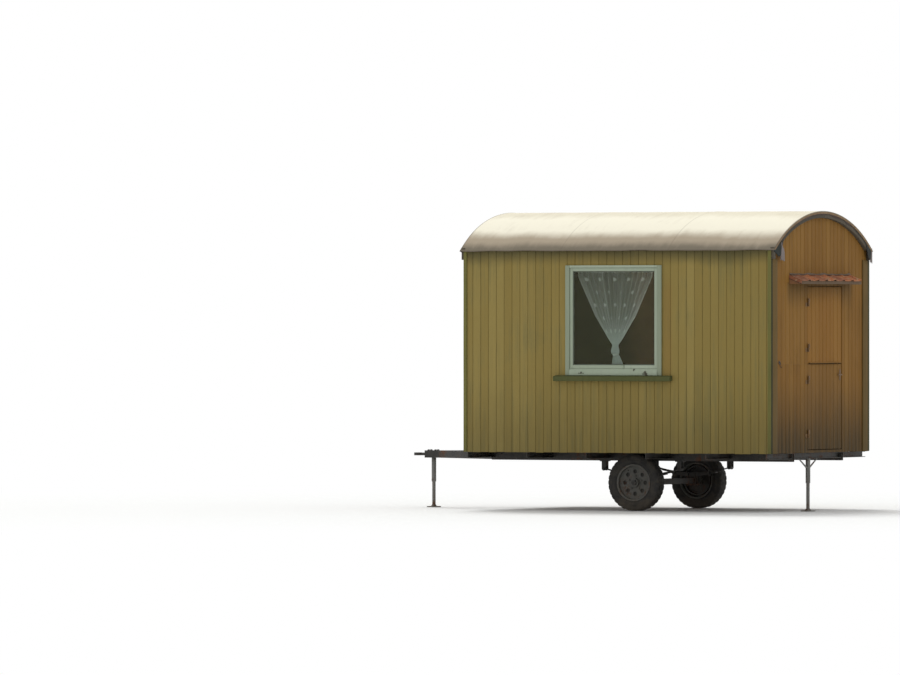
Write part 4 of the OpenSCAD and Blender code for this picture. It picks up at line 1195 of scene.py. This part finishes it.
def curtain(side, suffix):
    look = curtainLook
    rodY, rodZ = look["rod"]
    middle = (windowLow.x + windowHigh.x) / 2
    folds, knot = look["folds"], look["knot"]
    columns, rows = folds * look["foldSteps"], look["rowSteps"]
    top, foot = look["levels"][0][0], look["levels"][-1][0]
    cloth = Shape()
    points, faces, hems = [], [], []
    cloth.extra = {"across": [], "down": [], "fold": [], "tight": []}
    for j in range(rows + 1):
        share = j / rows
        z = top + (foot - top) * share
        half, shift = spanAt(z)
        tight = min(max((0.43 - half) / 0.38, 0), 1)
        for i in range(columns + 1):
            u = i / columns
            spread = 2 * u - 1
            phase = 2 * math.pi * folds * u + wobble(u * 4, side, 1.3, 2)
            deep = look["foldDepth"] * (1 + 0.15 * tight) * (0.75 + wobble(u * 6, share * 0.7, 0.5, side))
            if z > rodZ - 0.02:
                deep *= 0.6
            bow = 0.004 * math.sin(math.pi * share) * wobble(u * 3, share * 2, 1, side)
            sag = 0.01 * tight * (1 - spread ** 2) * math.sin(math.pi * share)
            gather = 0.1 * (1 - tight) * math.sin(2 * phase) / folds
            wave = deep * math.sin(phase) * (1 - 0.35 * tight * spread ** 2)
            points.append((middle + shift + half * (spread + gather), side * (rodY + wave + bow), z + sag))
            hems.append(1.0 if min(u, 1 - u) < 0.012 or share < 0.018 or share > 0.985 else 0.0)
            foldHighlights = sum(w * math.exp(-((u - at) / look["foldHighlightWidth"]) ** 2) for at, w in look["foldHighlights"])
            for key, value in (("across", (u + wobble(u * 7, share * 5, 0.02, 3)) * look["cloth"][0]),
                               ("down", share * look["cloth"][1]), ("fold", foldHighlights * (0.8 + 0.5 * share)),
                               ("tight", tight ** 2)):
                cloth.extra[key].append(value)
            if i < columns and j < rows:
                a = j * (columns + 1) + i
                faces.append((a, a + 1, a + columns + 2, a + columns + 1))
    cloth.add(points, faces, tone=0.5, marks=hems)
    made = cloth.piece("net_curtain_" + suffix, net, "curtain_net", replaces=["curtain_" + suffix], smooth=60)

    tie = Shape(82)
    centre = middle + spanAt(knot)[1]
    tie.turned(look["tie"], 28, lambda a, b, c: (centre + a, side * (rodY + b * 0.9), knot + c + a * 0.12),
               rough=lambda k, number: 0.0012 * math.sin(k * 2.1))
    for way in (-1, 1):
        loop = [(centre - 0.034 + 0.012 * math.cos(t) - way * 0.006, side * (rodY - 0.018),
                 knot + 0.014 + 0.013 * math.sin(t) + way * 0.01) for t in lines(0, 2 * math.pi, 12)]
        tie.bar(loop, 0.004, 6)
    knotted = tie.piece("curtain_tie_" + suffix, tieCloth, "curtain_net", smooth=50)


curtain(-1, "near")
curtain(1, "far")
dress("curtain_rods", brass, 0.0006)
print("curtains")


# The stable door: two leaves of the wall's boards on ledges and a brace, on butt hinges. The
# drip rail has two ends, a height and a depth; a plate its width, height and thickness; the
# pins two ends and a radius.

doorLook = {
    "gap": 0.008,
    "ledge": 0.105,
    "ledgeFrom": 0.05,
    "brace": 0.085,
    "braceFrom": 0.015,
    "dripRail": (-0.27, 0.5, 0.016, 0.015),
    "plate": (0.055, 0.04, 0.003),
    "plateCut": 0.004,
    "knuckle": 0.009,
    "proud": 0.002,
    "bore": 0.0042,
    "pin": (0.001, 0.083, 0.004),
    "screws": ((0.02, 0.01), (0.02, 0.03), (0.044, 0.02)),
    "dome": ((0.0001, 0.0016), (0.0026, 0.0012), (0.004, 0.0001), (0.0001, 0.0001)),
    "hinges": {"lower_leaf": (0.755, 1.306), "upper_leaf": (1.634, 2.098)},
}
leafInner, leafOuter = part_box("door_lower_leaf")[0].x, wallHigh.x
leafNear, leafFar = doorwayNear + doorLook["gap"], doorwayFar - doorLook["gap"]
hingeX = leafOuter + doorLook["knuckle"] + doorLook["proud"]
hingeY = doorwayNear + doorLook["gap"] / 2


def doorLeaf(body, paint):
    look = doorLook
    low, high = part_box("door_" + body)
    bottom, top = low.z, high.z
    boards = Shape(91)
    uprightBoards(boards, wallPlane("end", 1), (leafNear, leafFar), wallLook["endJoint"], bottom,
                  lambda u: top, ragged=0.0)
    if body == "upper_leaf":
        near, far, tall, deep = look["dripRail"]
        rail = [(seat, bottom), (deep, bottom), (deep, bottom + 0.005), (seat, bottom + tall)]
        # Painted shade on the rail: its marks darken the foot, and its tone lightens the sloped top
        boards.prism(rail, near, far, lambda a, b, c: (leafOuter + a, c, b),
                     marks=[1.0, 1.0, 0.35, 0.0] * 2, tone=0.7)
    boards.piece(body + "_boards", paint, "door_paint", body=body, replaces=["door_" + body])
    inside = Shape(92)
    back = leafOuter - wallLook["skin"] - seat
    levels = (bottom + look["ledgeFrom"], top - look["ledgeFrom"] - look["ledge"])
    for z in levels:
        inside.box((leafInner, leafNear + 0.004, z), (back, leafFar - 0.004, z + look["ledge"]))
    foot, head = levels[0] + look["ledge"] + 0.0008, levels[1] - 0.0008
    near, far = leafNear + look["braceFrom"], leafFar - look["braceFrom"]
    inside.prism([(near, foot), (near + look["brace"], foot), (far, head), (far - look["brace"], head)],
                 leafInner + 0.001, back, lambda a, b, c: (c, a, b))
    inside.piece(body + "_ledges", plainWood, "plain_timber", body=body, bevel=0.002)


# One half of a butt hinge: a plate with cut corners, its knuckle and three screws
def hingeHalf(shape, z, way):
    look = doorLook
    wide, tall, thick = look["plate"]
    cut, bore, knuckle = look["plateCut"], look["bore"], look["knuckle"]
    outline = [(0.002, 0), (wide - cut, 0), (wide, cut), (wide, tall - cut), (wide - cut, tall),
               (0.002, tall)]
    shape.prism(outline, leafOuter + 0.0002, leafOuter + thick,
                lambda a, b, c: (c, hingeY + way * a, z + b), marks=[0.2] * 12)
    ring = [(bore, seat), (knuckle, seat), (knuckle, tall - seat), (bore, tall - seat)]
    shape.turned(ring, 20, lambda a, b, c: (hingeX + a, hingeY + b, z + c))
    for a, b in look["screws"]:
        shape.turned(look["dome"], 10,
                     lambda p, q, r: (leafOuter + thick + r, hingeY + way * a + p, z + b + q))


def hinges():
    look = doorLook
    fixed = Shape(95)
    foot, head, thick = look["pin"]
    for z in sum(look["hinges"].values(), ()):
        hingeHalf(fixed, z, -1)
        fixed.bar([(hingeX, hingeY, z + foot), (hingeX, hingeY, z + head)], thick, 12)
    fixed.piece("hinge_plates", hingePaint, "hinge_steel", replaces=["door_hinges"], bevel=0.0005)
    for body, heights in look["hinges"].items():
        halves = Shape(96)
        for z in heights:
            hingeHalf(halves, z + look["plate"][1] + 0.0005, 1)
        halves.piece(body + "_plates", hingePaint, "hinge_steel", body=body, bevel=0.0005)


hookLook = {
    "place": (-0.985, 1.53),
    "thick": 0.0035,
    "bend": ((-0.001, 0), (0.012, -0.003), (0.015, -0.015), (0.01, -0.03), (0.013, -0.05),
             (0.026, -0.056), (0.031, -0.042)),
    "plate": ((0.003, 0.0005), (0.02, 0.0005), (0.018, 0.004), (0.003, 0.005)),
}


def wallHook(look):
    y, z = look["place"]
    hook = Shape(97)
    hook.bar([(wallHigh.x + out, y, z + up) for out, up in look["bend"]], look["thick"], 8)
    hook.turned(look["plate"], 16, lambda a, b, c: (wallHigh.x + c, y + a, z - 0.004 + b))
    hook.piece("wall_hook", latchSteel, "latch_steel", smooth=40)


doorLeaf("lower_leaf", lowerPaint)
doorLeaf("upper_leaf", doorPaint)
hinges()
dress("door_latch", hingePaint, 0.0008)
dress("door_frame", doorPaint, 0.0015)
wallHook(hookLook)
print("door")


# The canopy over the door: a sloped deck, a front board and a row of pantiles

tileLook = {
    "count": 7,
    "lip": 0.012,
    "roll": 0.0105,
    "rollFrom": 0.68,
    "thick": 0.009,
    "overhang": 0.004,
    "reach": (-0.003, 0.004),
    "tip": (-0.0012, 0.0012),
    "flange": 0.042,
    "slope": 0.37,
    "clay": ((0.42, 0.145, 0.058), (0.27, 0.105, 0.055)),
    "lichen": (0.42, 0.31, 0.18),
    "soot": (0.035, 0.022, 0.018),
    "edge": (0.03, 0.022, 0.02),
}


def clayFinish(look):
    finish = Finish("clay", gloss=0.25)
    cloud = finish.spots(0.07, 5, 0.65)
    fleck = finish.fade(finish.spots(0.035, 6, 0.7, shift=4.1), 0.53, 0.61)
    soot = finish.fade(finish.spots(0.04, 5, 0.7, shift=8.2), 0.57, 0.65)
    red, brown = look["clay"]
    colour = finish.coats(red, (brown, finish.fade(finish.mark("tone") * 0.6 + cloud * 0.4, 0.3, 0.75)),
                          (look["lichen"], fleck * 0.75), (look["soot"], soot * 0.85),
                          (look["edge"], finish.mark("mark") * 0.9))
    return finish.paint(colour, 0.8, bumps=cloud * 0.4 + fleck * 0.6, depth=0.0015)


def canopyTiles():
    look = tileLook
    low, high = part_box("canopy_tiles")
    wide = (high.y - low.y) / look["count"]
    tiles = Shape(101)
    for i in range(look["count"]):
        y = low.y + i * wide
        span = wide + (look["lip"] if i < look["count"] - 1 else 0)
        reach = high.x - low.x + look["overhang"] + tiles.chance.uniform(*look["reach"])
        tip = tiles.chance.uniform(*look["tip"])

        def face(u, v, drop=0.0):
            t, turn = (u - y) / wide, look["rollFrom"]
            if t < turn:
                roll = -0.0016 * math.sin(math.pi * t / turn)
            else:
                roll = look["roll"] * math.sin(math.pi * min((t - turn) / 0.38, 1)) ** 0.8
            return (low.x + lift + v, u, high.z - look["slope"] * v + roll + tip - drop)

        tiles.sheet(lines(y + 0.0005, y + span, 18), lines(0, reach, 4), face,
                    lambda u, v: face(u, v, look["thick"]),
                    mark=lambda u, v: 1.0 if min(u - y, y + wide - u) < 0.004 else 0.0)
        if i == 0:
            # The end tile's flange hangs down over the deck's cheek
            def flange(out):
                return lambda u, v: (low.x + u, y - out, high.z - look["slope"] * u - look["flange"] * v)

            tiles.sheet(lines(0.001, reach, 4), [0.0, 0.7, 1.0], flange(0.0007), flange(0.008),
                        mark=lambda u, v: 1.0 if v == 1.0 else 0.0)
    tiles.piece("pantiles", clayFinish(look), "clay_tile", replaces=["canopy_tiles"], smooth=40)


def canopyTrim():
    low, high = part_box("canopy_fascia")
    front = Shape(102)
    front.sheet(lines(low.y, high.y, 16), [low.z, high.z - 0.006],
                lambda u, v: (high.x + wobble(u * 3, v, 0.0012), u, v + wobble(u * 2.2, 0, 0.002)),
                lambda u, v: (low.x + seat, u, v + wobble(u * 2.2, 0, 0.002)))
    front.piece("canopy_front", greyPaint, "grey_paint", replaces=["canopy_fascia"], bevel=0.0018)

    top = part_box("canopy_tiles")[1].z
    mortar = Shape()
    mortar.sheet(lines(-0.735, 0.735, 60), lines(0, 1, 3),
                 lambda u, v: (wallHigh.x + 0.0006 + (1 - v) * (0.02 + wobble(u * 9, 2, 0.012)), u,
                               top - 0.004 + v * (0.02 + wobble(u * 6, 5, 0.016)) + 0.006 * (1 - v)),
                 lambda u, v: (wallHigh.x + seat, u, top - 0.006 + v * 0.02))
    stone = plainFinish("mortar", (0.125, 0.092, 0.066), (0.19, 0.14, 0.105), 0.9, 0.06)
    mortar.piece("canopy_flashing", stone, "grey_paint", smooth=50)
    dress("canopy_deck", deckPaint, 0.0015)


canopyTiles()
canopyTrim()
print("canopy")


# The floor

floorLook = {
    "boards": 19,
    "slit": 0.0008,
    "firstBreak": 1.1,
    "nextBreak": 0.37,
}


def floorPlanks(look):
    low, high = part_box("floor_boards")
    boards = Shape(111)
    wide = (high.y - low.y) / look["boards"]
    for i in range(look["boards"]):
        y = low.y + i * wide
        breaks = [low.x, high.x]
        if i % 2:
            breaks.insert(1, low.x + look["firstBreak"] + (i % 3) * look["nextBreak"])
        for a, b in zip(breaks, breaks[1:]):
            boards.box((a + 0.0006, y + look["slit"], low.z + seat),
                       (b - 0.0006, y + wide - look["slit"], high.z))
    boards.piece("floor_planks", plainWood, "plain_timber", replaces=["floor_boards"], bevel=0.0014)


floorPlanks(floorLook)
dress("floor_joists", plainWood, 0.002)
print("floor")


# Chassis, springs and running gear. Bolts and nuts have a radius and a height; the bolts of the
# hangers and the cross beams stand at a height, two beside each other.

runningLook = {
    "hangers": 0.43,
    "hangerBolts": (0.545, 0.0308),
    "beams": (-1.1, -0.45, 0.16, 0.93, 1.55, 2.17),
    "beamBolts": (0.575, 0.03),
    "headBolts": ((-2.22, -2.14), 0.03),
    "railBolt": (0.008, 0.007),
    "headBolt": (0.012, 0.01),
    "clipNut": (0.009, 0.01),
    "wheelNut": (0.0105, 0.014),
    "railMiddle": 0.025,
    "clips": 0.04,
    "clipPlate": (0.058, 0.048, -0.041, -0.0305),
    "bandsAt": 0.2,
    "clip": ((0.0335, -0.052), (0.0335, 0.062), (0.03, 0.0725), (0.022, 0.0765)),
    "bands": ((-0.0335, -0.0285, 0.05, 0.104), (0.0285, 0.0335, 0.05, 0.104),
              (-0.0335, 0.0335, 0.1015, 0.1045)),
    "nuts": 5,
    "nutRing": 0.073,
    "nutFace": 0.0236,
    "firstNut": 0.3,
    "stem": ((0.15, 0.03), (0.143, 0.045), (0.138, 0.062)),
    "stemTurn": 2.1,
    "drum": ((0.047, 0.004), (0.05, 0.009), (0.142, 0.009), (0.148, 0.003), (0.15, -0.044), (0.155, -0.046),
             (0.155, -0.053), (0.141, -0.053), (0.139, -0.004), (0.047, -0.004)),
    "bead": 0.1763,
    "wall": ((0, 0.76), (0.06, 0.8), (0.12, 0.79), (0.2, 0.88), (0.3, 0.955), (0.4, 0.992), (0.46, 1.0),
             (0.47, 0.985), (0.49, 0.985), (0.5, 1.0), (0.62, 0.985), (0.76, 0.945), (0.86, 0.9)),
    "tread": ((0.97, 0.8), (1, 0.74), (1, 0.5), (0.92, 0.485), (0.92, 0.4), (1, 0.385), (1, 0.065),
              (0.92, 0.05)),
    "treadSteps": 132,
    "treadCut": 0.0055,
}
axleX, track, axleZ = sum(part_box("wheel_far"), Vector()) / 2
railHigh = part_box("chassis_rails")[1]


# A hexagonal bolt head on a washer; it stands on a face at a point, along a direction
def bolt(shape, point, along, radius, tall):
    along = Vector(along)
    side = along.orthogonal().normalized()
    other = along.cross(side)
    point = Vector(point)

    def turn(a, b, c):
        return point + side * a + other * b + along * c

    shape.turned([(0.0002, 0), (radius * 1.45, 0), (radius * 1.4, 0.002), (0.0002, 0.0025)], 18, turn)
    hexagon = [(radius * math.cos(t), radius * math.sin(t)) for t in lines(0, 2 * math.pi, 6)[:-1]]
    shape.prism(hexagon, 0.0024, tall, turn)


def chassis(look):
    for name in ("chassis_rails", "cross_members", "drawbar_arms", "drawbar_head", "springs",
                 "spring_hangers", "axle", "towing_eye"):
        dress(name, chassisSteel, 0.0016)
    for name in ("drawbar_prop", "door_end_prop"):
        dress(name, propSteel, 0.0012)
    bolts, clips = Shape(), Shape()
    hangers = (axleX - look["hangers"], axleX + look["hangers"])
    wide, deep, foot, head = look["clipPlate"]
    for side in (-1, 1):
        for places, (z, shift) in ((hangers, look["hangerBolts"]), (look["beams"], look["beamBolts"])):
            for x in [place + way * shift for place in places for way in (-1, 1)]:
                bolt(bolts, (x, side * (railHigh.y + 0.0002), z), (0, side, 0), *look["railBolt"])
        y = side * (railHigh.y - look["railMiddle"])
        for x in (axleX - look["clips"], axleX + look["clips"]):
            path = [(x, y - a, axleZ + b) for a, b in look["clip"]]
            clips.bar(path + [(x, 2 * y - b, c) for a, b, c in reversed(path)], 0.0052, 8)
            for way in (-1, 1):
                bolt(clips, (x, y + way * look["clip"][0][0], axleZ + foot - 0.0005), (0, 0, -1),
                     *look["clipNut"])
        clips.box((axleX - wide, y - deep, axleZ + foot), (axleX + wide, y + deep, axleZ + head))
        for x in (axleX - look["bandsAt"], axleX + look["bandsAt"]):
            for a, b, c, d in look["bands"]:
                clips.box((x - 0.011, y + a, axleZ + c), (x + 0.011, y + b, axleZ + d))
    places, shift = look["headBolts"]
    for y in (-shift, shift):
        for x in places:
            bolt(bolts, (x, y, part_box("drawbar_head")[1].z + 0.0002), (0, 0, 1), *look["headBolt"])
    bolts.piece("chassis_bolts", chassisSteel, "chassis_paint", smooth=35)
    clips.piece("spring_clips", chassisSteel, "chassis_paint", bevel=0.0008)


def rubberFinish():
    finish = Finish("rubber", gloss=0.35)
    cloud = finish.spots(0.09, 5, 0.62)
    fine = finish.spots(0.008, 5, 0.7, shift=2.0)
    dust = finish.fade(cloud * 0.5 + fine * 0.5 + finish.fade(finish.axis(2), 0.2, 0.0) * 0.2, 0.48, 0.68)
    colour = finish.coats((0.02, 0.019, 0.018), ((0.04, 0.037, 0.033), finish.fade(cloud, 0.35, 0.7)),
                          ((0.085, 0.068, 0.048), dust * 0.55))
    return finish.paint(colour, 0.75 + dust * 0.15, bumps=fine, depth=0.0006)


rubber = rubberFinish()


def wheel(side, suffix):
    look = runningLook
    body = suffix + "_wheel"

    def turn(a, b, c):
        return (axleX + a, side * (track + c), axleZ + b)

    def around(radius, angle, out):
        return turn(radius * math.cos(angle), radius * math.sin(angle), out)

    dress("wheel_" + suffix, shadeDarkenedWheelPaint, 0.0012)
    nuts = Shape()
    for k in range(look["nuts"]):
        angle = 2 * math.pi * k / look["nuts"] + look["firstNut"]
        bolt(nuts, around(look["nutRing"], angle, look["nutFace"]), (0, side, 0), *look["wheelNut"])
    nuts.bar([around(radius, look["stemTurn"], out) for radius, out in look["stem"]], 0.0045, 8)
    nuts.piece("wheel_nuts_" + suffix, shadeDarkenedWheelPaint, "wheel_paint", body=body, smooth=35)
    drum = Shape()
    drum.turned(look["drum"], 48, turn)
    drum.piece("brake_drum_" + suffix, chassisSteel, "chassis_paint", body=body, smooth=35)

    bead, tall, half = look["bead"], axleZ - look["bead"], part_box("tyre_far")[1].y - track
    profile = [(bead + tall * p, half * q) for p, q in look["wall"] + look["tread"]]
    outline = profile + [(r, -h) for r, h in reversed(profile)]

    # Every fourth step of the shoulders is cut back, and the two sides are staggered
    def blocks(k, number):
        r, h = outline[number]
        cut = r > bead + 0.93 * tall and abs(h) > 0.03 and k % 4 == (0 if h > 0 else 2)
        return -look["treadCut"] if cut else 0.0

    tyre = Shape()
    tyre.turned(outline, look["treadSteps"], turn, rough=blocks)
    tyre.piece("tread_" + suffix, rubber, "tyre_rubber", body=body, replaces=["tyre_" + suffix], smooth=34)


chassis(runningLook)
wheel(-1, "near")
wheel(1, "far")
print("running gear")
